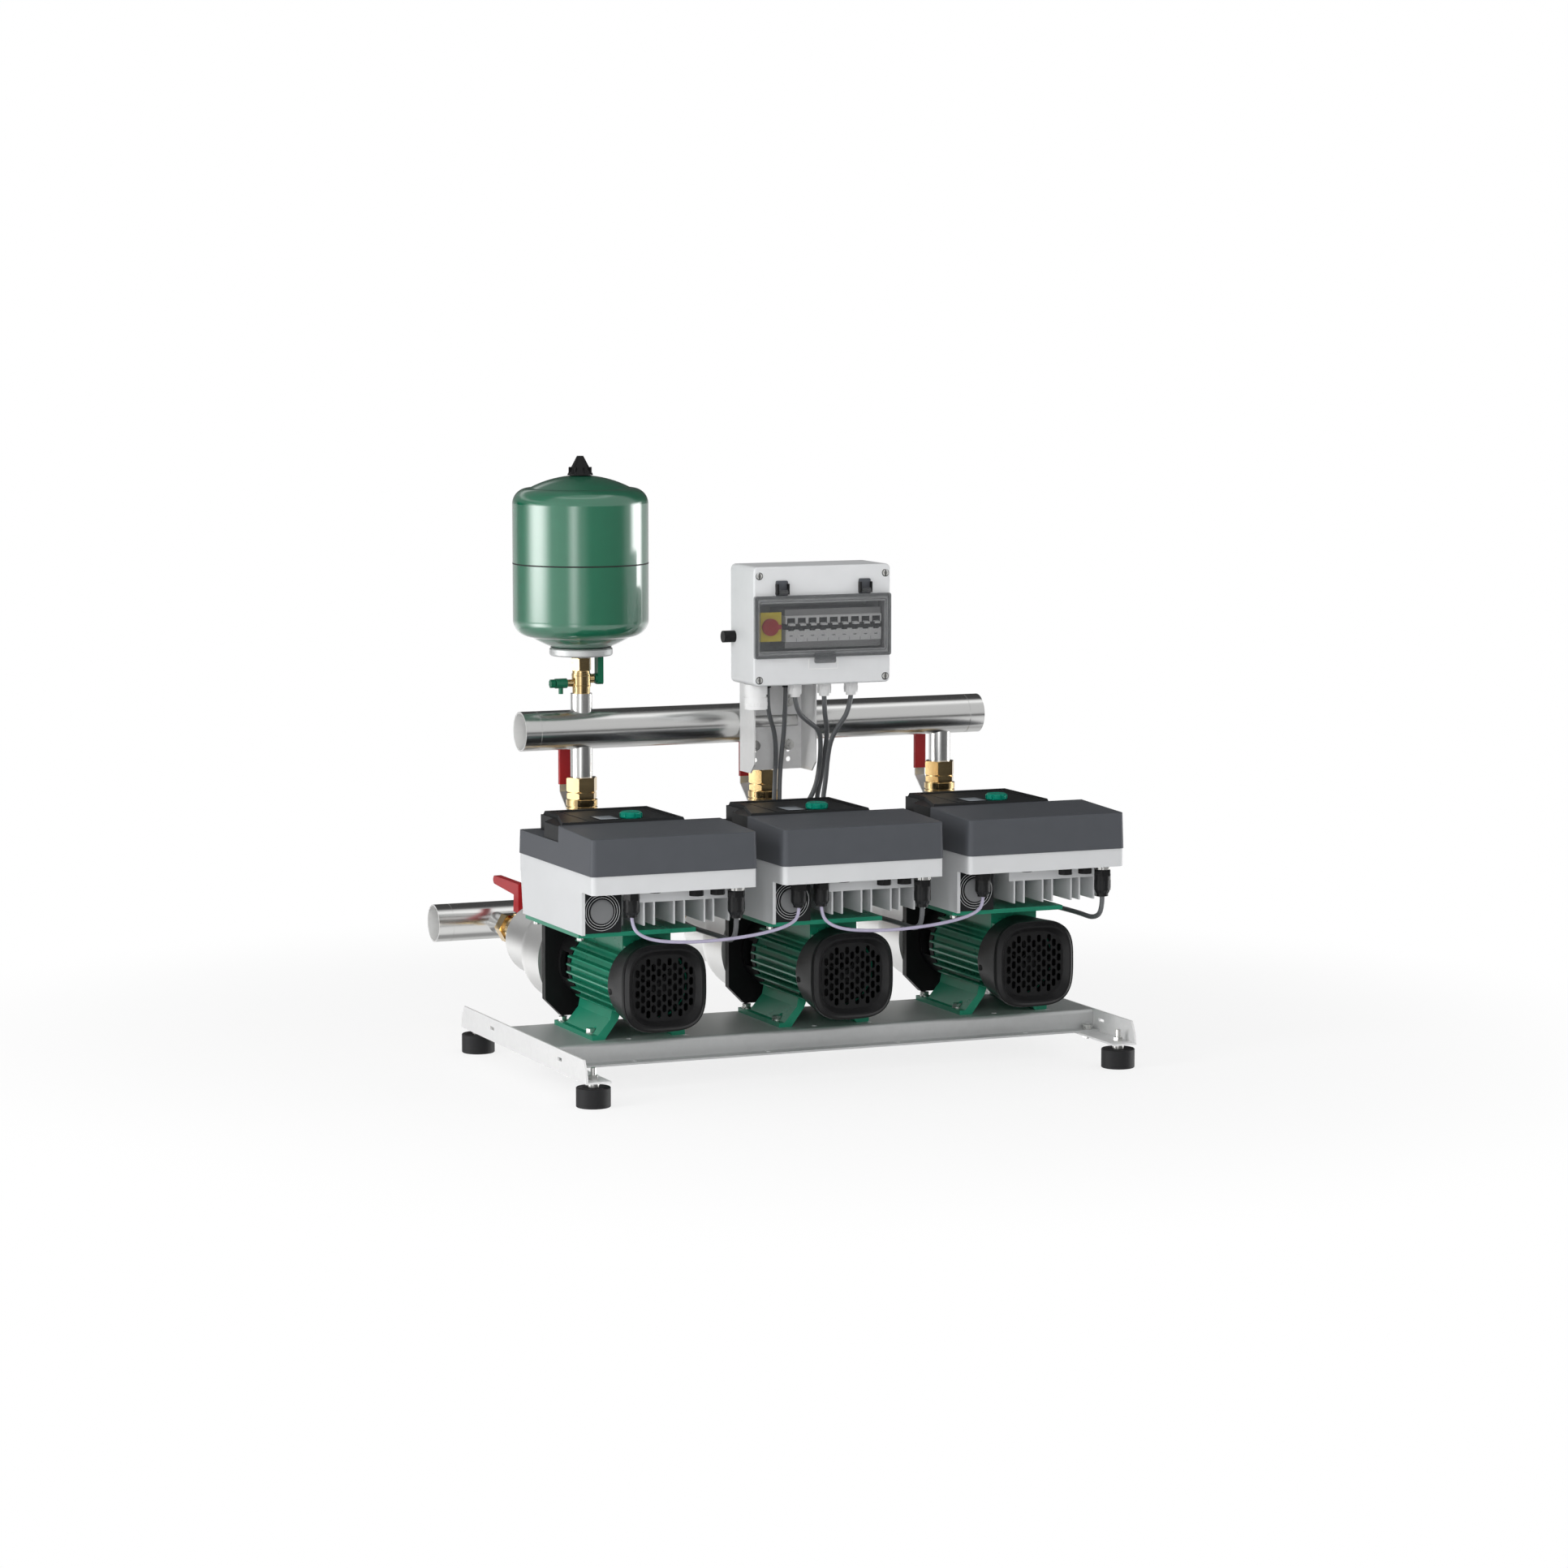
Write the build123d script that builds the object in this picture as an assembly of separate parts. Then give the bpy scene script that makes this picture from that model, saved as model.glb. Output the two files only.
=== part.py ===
from build123d import *
import math
import os

# Booster pump set: three horizontal pumps on one base, each with its own drive on top,
# a suction manifold behind, a discharge manifold above, a diaphragm vessel and a control box.
# Millimetres. X runs along the manifolds, +Y points from the motor fans to the pumps, Z is up.
# Lengths below are taken from the middle pump in X, the front of the drives in Y, the floor in Z.

# Driving sizes: the set
PUMP_COUNT = 3
PUMP_PITCH = 300.0
PIPE_R = 30.15
PIPE_WALL = 2.0
BRANCH_R = 16.85
BRANCH_WALL = 2.0
MANIFOLD_LEFT = -399.0
MANIFOLD_RIGHT = 364.0
DISCHARGE_Y = 382.9
DISCHARGE_Z = 509.0
SUCTION_Y = 800.0
GROOVE_FROM_END = 24.0
GROOVE_WIDTH = 1.2
GROOVE_DEPTH = 0.6
RUN_GAP = 0.05
FREE_GAP = 0.3

# Driving sizes: base frame and feet
FOOT_R = 25.4
FOOT_HEIGHT = 29.1
FOOT_FRONT_Y = 4.8
FOOT_REAR_Y = 510.6
FOOT_INSET = 19.3
WASHER_HEIGHT = 7.5
SHEET = 3.0
MEMBER_LEFT = -444.4
MEMBER_RIGHT = 444.4
MEMBER_FRONT = -18.6
MEMBER_REAR = 534.3
MEMBER_LEG = 38.6
MEMBER_HEIGHT = 34.6
MEMBER_CHAMFER = 12.2
CHANNEL_TOP = 71.0
CHANNEL_FRONT = 123.7
CHANNEL_REAR = 316.8
CHANNEL_LIP = 25.4
CHANNEL_BEND = 6.0
SLOT_W = 5.0
SLOT_L = 15.0

# Driving sizes: motor and pump
SHAFT_HEIGHT = 90.0
SHAFT_R = 7.0
MOTOR_FRONT = 93.0
MOTOR_REAR = 282.0
MOTOR_BODY_R = 56.0
FIN_TIP_R = 66.0
FIN_T = 2.6
FIN_PITCH = 15.0
MOTOR_WALL = 9.0
FOOT_PAD_FRONT = 146.0
FOOT_PAD_REAR = 308.0
FOOT_PAD_X = 73.8
FOOT_PAD_T = 7.0
FOOT_PAD_W = 20.0
WEB_KNEE_X = 45.0
WEB_KNEE_DROP = 60.0
FOOT_HOLE_FRONT = 175.5
FOOT_HOLE_REAR = 295.5
FOOT_HOLE_X = 64.6
COWL_FRONT = 32.0
COWL_REAR = 98.0
COWL_HALF = 65.0
COWL_R = 67.0
COWL_WALL = 3.0
BEZEL_DEPTH = 6.0
BEZEL_STEP = 1.6
RECESS_DEPTH = 9.0
RECESS_BEVEL = 9.0
GRILLE_HALF = 47.0
GRILLE_T = 3.0
CELL_W = 6.4
CELL_H = 12.4
CELL_PITCH_X = 8.4
CELL_PITCH_Z = 15.2
FAN_R = 50.0
FAN_BLADES = 7
FLANGE_FRONT = 334.0
FLANGE_REAR = 348.0
FLANGE_HALF = 78.5
FLANGE_CORNER = 26.0
LANTERN_R = 58.0
CASING_R = 80.0
CASING_STRAIGHT = 77.0
CASING_DISH = 70.0
CASING_WALL = 2.0
CASING_RIM = 5.0
CASING_RIM_T = 3.0
HUB_R = 25.0
PORT_R = 15.0
DELIVERY_NECK_R = 21.0
NECK_R = 56.0
NECK_REAR = 590.0
STAGES = 4
STAGE_PITCH = 27.0
IMPELLER_R = 52.0

# Driving sizes: drive on each motor
DRIVE_LEFT = -127.3
DRIVE_RIGHT = 130.3
DRIVE_REAR = 311.7
DRIVE_CORNER = 7.0
TRAY_BOTTOM = 308.0
TRAY_TOP = 335.3
COVER_TOP_FRONT = 389.0
COVER_TOP_BACK = 394.5
COVER_DECK = 370.0
COVER_STEP_Y = 141.0
COVER_TAPER = 2.0
COVER_LIP = 1.4
SKIRT_FRONT = 43.0
SKIRT_T = 5.0
PLATE_Z = 238.0
PLATE_T = 6.5
PANEL_LEFT = -94.0
PANEL_RIGHT = 73.0
PANEL_REAR = 296.0
PANEL_TOP = 398.0
HOOD_TOP = 393.0
HOOD_LEFT = -126.0
HOOD_CORNER_Y = 204.0
HOOD_BEVEL = 40.0
KNOB_X = 1.0
KNOB_Y = 177.0
KNOB_R = 17.0
KNOB_HEIGHT = 8.0
KNOB_STEM_R = 4.0
HEAT_FIN_XS = (-25.0, -9.0, 22.4, 38.5, 70.3, 84.5, 108.8, 125.7)
HEAT_FIN_T = 2.6
HEAT_FIN_BOTTOM = 252.0
HEAT_FRONT = 58.0
HEAT_REAR = 250.0
SIDE_FAN_SIZE = 62.0
SIDE_FAN_Y = 58.0
SIDE_FAN_DEPTH = 18.0

# Driving sizes: valves in each branch, measured up from the pump axis or along it
BALL_R = 13.0
STEM_R = 5.0
VALVE_Z = 362.0
CHECK_Z = 292.0
CHECK_R = 23.0
UNION_R = 24.0
VALVE_HALF = 26.0
STEM_NECK = 28.0
LEVER_REACH = 36.0
LEVER_CRANK = 38.0
LEVER_LENGTH = 126.0
LEVER_WIDTH = 19.0
LEVER_T = 3.0
GRIP_START = 55.0
SUCTION_VALVE_Y = 668.0
HUB_LENGTH = 20.0

# Driving sizes: vessel and its valve
VESSEL_R = 103.0
VESSEL_BOTTOM = 634.0
VESSEL_TOP = 895.0
VESSEL_SEAM = 762.4
VESSEL_RISE = 19.0
VESSEL_EDGE = 26.0
VESSEL_WALL = 2.0
VESSEL_PORT_R = 8.0
VESSEL_FLANGE_R = 48.0
VESSEL_FLANGE_T = 12.0
CAP_R = 20.0
CAP_HEIGHT = 29.0
SOCKET_R = 16.5
SOCKET_TOP = 564.0
VESSEL_VALVE_Z = 586.0
VESSEL_VALVE_TOP = 618.0
VESSEL_BALL_R = 8.5
VESSEL_STEM_R = 3.5
DRAIN_R = 3.0

# Driving sizes: control box and bracket
BOX_LEFT = -89.5
BOX_RIGHT = 135.0
BOX_FRONT = 206.0
BOX_REAR = 296.0
BOX_BOTTOM = 581.0
BOX_TOP = 761.0
BOX_WALL = 3.0
BOX_CORNER = 8.0
WINDOW_LEFT = -90.0
WINDOW_RIGHT = 133.0
WINDOW_BOTTOM = 623.0
WINDOW_TOP = 717.0
WINDOW_DEPTH = 7.0
WINDOW_WALL = 2.0
LID_DEPTH = 25.0
HINGE_R = 2.5
HINGE_Z = WINDOW_TOP + 5.0
HINGE_XS = (-44.5, 91.5)
BREAKER_W = 17.5
BREAKER_COUNT = 9
BREAKER_LEFT = -34.5
BREAKER_FACE = 213.0
BREAKER_BOTTOM = 646.0
BREAKER_TOP = 685.0
TOGGLE_R = 7.5
SWITCH_X = -60.5
SWITCH_Z = 669.5
SWITCH_R = 13.0
BRACKET_HALF = 52.0
BRACKET_T = 2.5
BRACKET_BOTTOM = 438.0
BRACKET_TOP = 710.0
BRACKET_SLOT_BOTTOM = 504.0
BRACKET_SLOT_TOP = 522.0
U_BOLT_R = 3.0
U_BOLT_SPREAD = PIPE_R + U_BOLT_R + 0.3
U_BOLT_XS = (-28.0, 28.0)

# Driving sizes: glands and cables
GLAND_Y = 251.0
DRIVE_GLAND_Y = 30.0
POWER_D = 7.5
SIGNAL_D = 7.0
BUS_D = 5.0
BUS_GLAND_END = 270.0
POWER_GLAND_END = 260.0
POWER_GLAND_X = 109.2
BUS_GLAND_XS = (-91.0, -55.0)
BLANK_XS = (-20.0, 46.5, 79.7)
BLANK_DROPS = (4.0, 12.0, 12.0)
BOX_GLAND_XS = (-3.3, 45.0, 89.4)
BOX_GLAND_END = 559.0
BLANK_GLAND_X = -68.0
SIGNAL_GLAND_Y = 326.0
SIGNAL_GLAND_Z = 346.0
SIDE_GLAND_Y = 283.0
BUS_GLAND_R = 11.5
POWER_GLAND_R = 12.5
SIDE_GLAND_Z = 651.5

# Places that follow from the sizes above
AXIS_Z = CHANNEL_TOP + SHAFT_HEIGHT
PUMPS = [(i - (PUMP_COUNT - 1) / 2) * PUMP_PITCH for i in range(PUMP_COUNT)]
LEG_BOTTOM = FOOT_HEIGHT + WASHER_HEIGHT
LEG_TOP = LEG_BOTTOM + SHEET
FOOT_XS = (MEMBER_LEFT + FOOT_INSET, MEMBER_RIGHT - FOOT_INSET)
FOOT_YS = (FOOT_FRONT_Y, FOOT_REAR_Y)
VESSEL_X = PUMPS[0]
ORIGIN_X = sum(FOOT_XS) / 2
ORIGIN_Y = (FOOT_FRONT_Y - FOOT_R + SUCTION_Y + PIPE_R) / 2
TO_ORIGIN = Location((-ORIGIN_X, -ORIGIN_Y, 0))


def block(x0, x1, y0, y1, z0, z1):
    """A box between two opposite corners."""
    middle = ((x0 + x1) / 2, (y0 + y1) / 2, (z0 + z1) / 2)
    return Pos(*middle) * Box(x1 - x0, y1 - y0, z1 - z0)


def rod_x(y, z, radius, x0, x1):
    return Location((x0, y, z), (0, 90, 0)) * extrude(Circle(radius), x1 - x0)


def rod_y(x, z, radius, y0, y1):
    return Location((x, y0, z), (-90, 0, 0)) * extrude(Circle(radius), y1 - y0)


def rod_z(x, y, radius, z0, z1):
    return Pos(x, y, z0) * extrude(Circle(radius), z1 - z0)


def hex_z(x, y, across_corners, z0, z1):
    """A hexagon bar standing on Z, by the radius to its corners."""
    return Pos(x, y, z0) * extrude(RegularPolygon(across_corners, 6), z1 - z0)


def nut_z(x, y, across_corners, z0, z1):
    """A hexagon nut standing on Z, its corners turned off at both ends."""
    ease = across_corners * 0.1
    drop = ease * 0.6
    blank = [
        (0, 0),
        (across_corners - ease, 0),
        (across_corners, drop),
        (across_corners, z1 - z0 - drop),
        (across_corners - ease, z1 - z0),
        (0, z1 - z0),
    ]
    return hex_z(x, y, across_corners, z0, z1) & Pos(x, y, z0) * turned(blank)


def hex_y(x, z, across_corners, y0, y1):
    return Location((x, y0, z), (-90, 0, 0)) * extrude(RegularPolygon(across_corners, 6), y1 - y0)


def turned(outline):
    """A body of revolution about Z from a closed outline of (radius, height) points."""
    return revolve(Plane.XZ * make_face(Polyline(*outline, close=True)), Axis.Z)


def along_y(solid, x, y, z):
    """Lays a body made about Z along +Y, with its foot at the given point."""
    return Location((x, y, z), (-90, 0, 0)) * solid


def group(solids):
    """Several separate solids kept side by side in one node."""
    return Compound(children=list(solids))


def save(name, shape):
    export_step(TO_ORIGIN * shape, f"parts/{name}.step")


# Base frame

def base_channel():
    """Folded channel the motors stand on: a top, two walls and two out-turned lips."""
    wall = CHANNEL_TOP - LEG_TOP - SHEET
    depth = CHANNEL_REAR - CHANNEL_FRONT
    left = MEMBER_LEFT + SHEET + FREE_GAP
    right = MEMBER_RIGHT - SHEET - FREE_GAP
    top = [
        (-CHANNEL_LIP, 0),
        (0, 0),
        (0, wall),
        (depth, wall),
        (depth, 0),
        (depth + CHANNEL_LIP, 0),
    ]
    inner = [
        (depth + CHANNEL_LIP, SHEET),
        (depth + SHEET, SHEET),
        (depth + SHEET, wall + SHEET),
        (-SHEET, wall + SHEET),
        (-SHEET, SHEET),
        (-CHANNEL_LIP, SHEET),
    ]
    profile = make_face(Polyline(*top, *inner, close=True))
    place = Plane(origin=(left, CHANNEL_FRONT, LEG_TOP), x_dir=(0, 1, 0), z_dir=(1, 0, 0))
    solid = extrude(place * profile, right - left)
    bends = [e for e in solid.edges().filter_by(Axis.X) if e.center().Z > CHANNEL_TOP - 0.1]
    solid = fillet(bends, CHANNEL_BEND)
    cuts = []
    for x in PUMPS:
        for side in (-1, 1):
            for y in (FOOT_HOLE_FRONT, FOOT_HOLE_REAR):
                cuts.append(rod_z(x + side * FOOT_HOLE_X, y, 4.5, LEG_TOP, CHANNEL_TOP + 1))
        for offset in (-18.0, 73.4):
            cuts.append(rod_z(x + offset, CHANNEL_FRONT + 18, 4.0, LEG_TOP + 10, CHANNEL_TOP + 1))
    for x, y in frame_bolt_places():
        cuts.append(rod_z(x, y, 4.5, LEG_TOP - 1, LEG_TOP + SHEET + 1))
    for i in range(4):
        x = left + 120 + i * (right - left - 240) / 3
        cuts.append(rod_z(x, CHANNEL_FRONT - CHANNEL_LIP / 2, 4.0, LEG_TOP - 1, LEG_TOP + SHEET + 1))
    return solid - cuts


def frame_bolt_places():
    """Where the channel's lips are bolted to the cross members."""
    inset = FOOT_INSET
    lips = (CHANNEL_FRONT - CHANNEL_LIP / 2 - SHEET / 2, CHANNEL_REAR + CHANNEL_LIP / 2 + SHEET / 2)
    return [(x, y) for x in (MEMBER_LEFT + inset, MEMBER_RIGHT - inset) for y in lips]


def cross_member(side):
    """Angle under one end of the channel: an upright plate and a leg turned inwards."""
    outer = MEMBER_LEFT if side < 0 else MEMBER_RIGHT
    inner = outer - side * SHEET
    toe = outer - side * MEMBER_LEG
    top = LEG_BOTTOM + MEMBER_HEIGHT
    ends = [
        (MEMBER_FRONT, LEG_BOTTOM),
        (MEMBER_REAR, LEG_BOTTOM),
        (MEMBER_REAR - MEMBER_CHAMFER * 0.3, LEG_BOTTOM + MEMBER_HEIGHT * 0.55),
        (MEMBER_REAR - MEMBER_CHAMFER, top),
        (MEMBER_FRONT + MEMBER_CHAMFER, top),
        (MEMBER_FRONT + MEMBER_CHAMFER * 0.3, LEG_BOTTOM + MEMBER_HEIGHT * 0.55),
    ]
    place = Plane(origin=(min(outer, inner), 0, 0), x_dir=(0, 1, 0), z_dir=(1, 0, 0))
    plate = extrude(place * make_face(Polyline(*ends, close=True)), SHEET)
    leg = block(min(outer, toe), max(outer, toe), MEMBER_FRONT, MEMBER_REAR, LEG_BOTTOM, LEG_TOP)
    slots = []
    for y in (CHANNEL_FRONT - 30, CHANNEL_REAR + 74):
        slot = extrude(SlotOverall(SLOT_L, SLOT_W, rotation=90), 3 * SHEET, both=True)
        slots.append(Location((outer, y, LEG_BOTTOM + 0.58 * MEMBER_HEIGHT), (90, 0, 90)) * slot)
    holes = []
    x = outer - side * FOOT_INSET
    for y in FOOT_YS:
        holes.append(rod_z(x, y, 4.5, LEG_BOTTOM - 1, LEG_TOP + 1))
    for bolt_x, y in frame_bolt_places():
        if abs(bolt_x - x) < 1:
            holes.append(rod_z(x, y, 4.5, LEG_BOTTOM - 1, LEG_TOP + 1))
    return (plate + leg) - slots - holes


def rubber_foot(x, y):
    outline = [
        (0, 0),
        (FOOT_R - 1, 0),
        (FOOT_R, 1),
        (FOOT_R, FOOT_HEIGHT - 1),
        (FOOT_R - 1, FOOT_HEIGHT),
        (0, FOOT_HEIGHT),
    ]
    return Pos(x, y, 0) * turned(outline)


def bolt(x, y, z_seat, grip, radius=4.0, washer=1.5):
    """Hexagon bolt from above, with washer, shank and the nut on the far side."""
    head = hex_z(x, y, radius * 1.85, z_seat + washer, z_seat + washer + radius * 1.3)
    ring = rod_z(x, y, radius * 2.0, z_seat, z_seat + washer)
    shank = rod_z(x, y, radius, z_seat - grip - radius * 2.2, z_seat + washer)
    nut = hex_z(x, y, radius * 1.85, z_seat - grip - radius * 1.6, z_seat - grip)
    return head + ring + shank + nut


def foot_stud(x, y):
    """Stud out of the rubber foot, with the washer under the leg and the nut above it."""
    washer = rod_z(x, y, 9.0, FOOT_HEIGHT, LEG_BOTTOM)
    stud = rod_z(x, y, 4.0, FOOT_HEIGHT, LEG_TOP + 18)
    nut = hex_z(x, y, 7.4, LEG_TOP, LEG_TOP + 6.5)
    return washer + stud + nut


def u_bolt(x):
    """Clamp round the discharge manifold, its two threads through the bracket's web."""
    reach = DISCHARGE_Y
    front = DISCHARGE_Y - PIPE_R - BRACKET_T - 9
    bend = U_BOLT_SPREAD
    rod = []
    for side in (-1, 1):
        rod.append(rod_y(x, DISCHARGE_Z + side * bend, U_BOLT_R, front, reach))
        seat = DISCHARGE_Y - PIPE_R - BRACKET_T
        rod.append(hex_y(x, DISCHARGE_Z + side * bend, 6.2, seat - 5.5, seat))
    arc = Plane(origin=(x, reach, DISCHARGE_Z + bend), z_dir=(0, 1, 0)) * Circle(U_BOLT_R)
    half = revolve(arc, Axis((x, reach, DISCHARGE_Z), (1, 0, 0)), 180)
    if half.center().Y < reach:
        half = revolve(arc, Axis((x, reach, DISCHARGE_Z), (1, 0, 0)), -180)
    return rod[0] + rod[1] + rod[2] + rod[3] + half


def fasteners():
    """Every stud and bolt of the base and the motor feet, as separate solids."""
    solids = [foot_stud(x, y) for x in FOOT_XS for y in FOOT_YS]
    for x, y in frame_bolt_places():
        solids.append(bolt(x, y, LEG_TOP + SHEET, 2 * SHEET))
    for x in PUMPS:
        for side in (-1, 1):
            for y in (FOOT_HOLE_FRONT, FOOT_HOLE_REAR):
                seat = CHANNEL_TOP + FOOT_PAD_T
                solids.append(bolt(x + side * FOOT_HOLE_X, y, seat, FOOT_PAD_T + SHEET))
    return group(solids)


def pipe_clamps():
    """The two clamps that hold the control bracket on the discharge manifold."""
    return group([u_bolt(x) for x in U_BOLT_XS])


# Motor

def motor_fins(x):
    """Level fins on both flanks and upright fins on top, trimmed to a round outline."""
    fins = []
    for i in range(-4, 4):
        z = AXIS_Z + (i + 0.5) * FIN_PITCH * 0.8
        fins.append(block(x - FIN_TIP_R, x + FIN_TIP_R, MOTOR_FRONT + 4, MOTOR_REAR - 6,
                          z - FIN_T / 2, z + FIN_T / 2))
    for i in range(-3, 4):
        fin_x = x + i * FIN_PITCH * 0.8
        fins.append(block(fin_x - FIN_T / 2, fin_x + FIN_T / 2, MOTOR_FRONT + 4, MOTOR_REAR - 6,
                          AXIS_Z, AXIS_Z + FIN_TIP_R))
    trim = rod_y(x, AXIS_Z, FIN_TIP_R, MOTOR_FRONT, MOTOR_REAR)
    return trim & Part() + fins


def motor_foot(x, side):
    """Foot rail along the channel, with the broad sloping web that joins it to the barrel."""
    floor = -SHAFT_HEIGHT
    top = floor + FOOT_PAD_T
    inner = FOOT_PAD_X - FOOT_PAD_W
    rail = block(min(side * inner, side * FOOT_PAD_X), max(side * inner, side * FOOT_PAD_X),
                 FOOT_PAD_FRONT, FOOT_PAD_REAR, floor, top)
    knee = side * WEB_KNEE_X
    outline = [
        (side * inner, floor),
        (side * (FOOT_PAD_X - 9), floor + 1),
        (side * (FOOT_PAD_X - 9), top),
        (knee, -WEB_KNEE_DROP),
        (knee - side * 5, 20 - MOTOR_BODY_R),
        (knee - side * 19, 12 - MOTOR_BODY_R),
        (knee - side * 12, -WEB_KNEE_DROP - 2),
    ]
    place = Plane(origin=(0, MOTOR_REAR, 0), x_dir=(1, 0, 0), z_dir=(0, -1, 0))
    web = extrude(place * make_face(Polyline(*outline, close=True)), MOTOR_REAR - FOOT_PAD_FRONT)
    foot = Pos(x, 0, AXIS_Z) * (rail + web)
    for y in (FOOT_HOLE_FRONT, FOOT_HOLE_REAR):
        hole = rod_z(x + side * FOOT_HOLE_X, y, 4.5, CHANNEL_TOP - 1, CHANNEL_TOP + FOOT_PAD_T + 1)
        seat = rod_z(x + side * FOOT_HOLE_X, y, 8.4, CHANNEL_TOP + FOOT_PAD_T, CHANNEL_TOP + 40)
        foot = foot - hole - seat
    return foot


def motor_housing(x):
    """Finned barrel with two bearing walls, feet and the plate that carries the drive."""
    barrel = rod_y(x, AXIS_Z, MOTOR_BODY_R, MOTOR_FRONT, MOTOR_REAR) + motor_fins(x)
    barrel += motor_foot(x, -1) + motor_foot(x, 1)
    barrel += block(x - 38, x + 38, 112, 262, AXIS_Z + 40, PLATE_Z)
    barrel += block(x + DRIVE_LEFT + 2, x + 58, 62, 290, PLATE_Z, PLATE_Z + PLATE_T)
    bore = rod_y(x, AXIS_Z, MOTOR_BODY_R - MOTOR_WALL, MOTOR_FRONT + MOTOR_WALL,
                 MOTOR_REAR - MOTOR_WALL)
    barrel = barrel - bore - rod_y(x, AXIS_Z, 16, MOTOR_FRONT - 1, MOTOR_REAR + 1)
    stator = rod_y(x, AXIS_Z, MOTOR_BODY_R - MOTOR_WALL, 128, 248)
    stator = stator - rod_y(x, AXIS_Z, 31, 127, 249)
    bearings = []
    for y in (MOTOR_FRONT, MOTOR_REAR - MOTOR_WALL):
        ring = rod_y(x, AXIS_Z, 16, y, y + MOTOR_WALL)
        bearings.append(ring - rod_y(x, AXIS_Z, SHAFT_R + RUN_GAP, y - 1, y + MOTOR_WALL + 1))
    return group([barrel, stator, *bearings])


def cowl_section(y, half, power):
    """Superellipse in an upright plane: |x/half|^power + |z/half|^power = 1."""
    points = []
    for i in range(24):
        angle = math.tau * i / 24
        c = math.cos(angle)
        s = math.sin(angle)
        radius = half / (abs(c) ** power + abs(s) ** power) ** (1 / power)
        points.append((radius * c, radius * s))
    plane = Plane(origin=(0, y, 0), x_dir=(1, 0, 0), z_dir=(0, -1, 0))
    return plane * make_face(Spline(*points, periodic=True))


def grille_cells():
    """Upright stretched hexagons in staggered columns, kept inside a rounded square."""
    cell = Polygon(
        (-CELL_W / 2, -CELL_H / 2 + CELL_W / 3),
        (0, -CELL_H / 2),
        (CELL_W / 2, -CELL_H / 2 + CELL_W / 3),
        (CELL_W / 2, CELL_H / 2 - CELL_W / 3),
        (0, CELL_H / 2),
        (-CELL_W / 2, CELL_H / 2 - CELL_W / 3),
    )
    places = []
    columns = int(GRILLE_HALF / CELL_PITCH_X)
    for i in range(-columns, columns + 1):
        shift = 0.5 if i % 2 else 0.0
        for j in range(-4, 5):
            px = i * CELL_PITCH_X
            pz = (j + shift) * CELL_PITCH_Z
            reach = (abs(px) + CELL_W / 2) ** 3 + (abs(pz) + CELL_H / 2) ** 3
            if reach < (GRILLE_HALF + 2) ** 3:
                places.append(Pos(px, pz))
    return [place * cell for place in places]


def fan_cowl(x):
    """Thin hood, a rounded square in front and round behind, with a bezel and a deep grille."""
    step = COWL_FRONT + BEZEL_DEPTH
    knee = step + 5
    floor = COWL_FRONT + RECESS_DEPTH
    back = floor + GRILLE_T
    bezel = COWL_HALF - BEZEL_STEP
    outer = loft([cowl_section(COWL_FRONT, bezel - 5, 3.4), cowl_section(step, bezel, 3.3)])
    outer += loft([cowl_section(step, COWL_HALF, 3.2), cowl_section(knee, COWL_HALF + 1, 3.1)])
    outer += loft([cowl_section(knee, COWL_HALF + 1, 3.1), cowl_section(COWL_REAR, COWL_R, 2)])
    inner = loft([
        cowl_section(back, COWL_HALF - COWL_WALL - 1.5, 3.2),
        cowl_section(COWL_REAR + 0.01, COWL_R - COWL_WALL, 2),
    ])
    sunk = loft([
        cowl_section(COWL_FRONT - 0.01, GRILLE_HALF + RECESS_BEVEL, 3.2),
        cowl_section(floor, GRILLE_HALF + 2, 3.2),
    ])
    plane = Plane(origin=(0, back + 1, 0), x_dir=(1, 0, 0), z_dir=(0, -1, 0))
    cells = [extrude(plane * cell, GRILLE_T + 2) for cell in grille_cells()]
    rim = rod_y(0, 0, COWL_R - COWL_WALL + 1, MOTOR_FRONT + 1, COWL_REAR)
    collar = rim - rod_y(0, 0, MOTOR_BODY_R, MOTOR_FRONT, COWL_REAR + 1)
    shell = (outer - inner - sunk) + collar - cells
    clear = motor_fin_clearance()
    return Pos(x, 0, AXIS_Z) * (shell - clear)


def motor_fin_clearance():
    """Room for the fin ends inside the cowl's rear collar."""
    return rod_y(0, 0, FIN_TIP_R + 0.5, MOTOR_FRONT + 3.5, COWL_REAR + 1)


def cooling_fan(x):
    """Hub, disc and straight blades, pressed on the shaft's front end."""
    hub = rod_y(0, 0, 13, 60, 88)
    disc = rod_y(0, 0, FAN_R, 84, 86.5)
    blade = block(10, FAN_R, 64, 86, -1.1, 1.1)
    blades = [Rot(0, i * 360 / FAN_BLADES, 0) * blade for i in range(FAN_BLADES)]
    fan = hub + disc + blades - rod_y(0, 0, SHAFT_R, 59, 89)
    return Pos(x, 0, AXIS_Z) * fan


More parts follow.
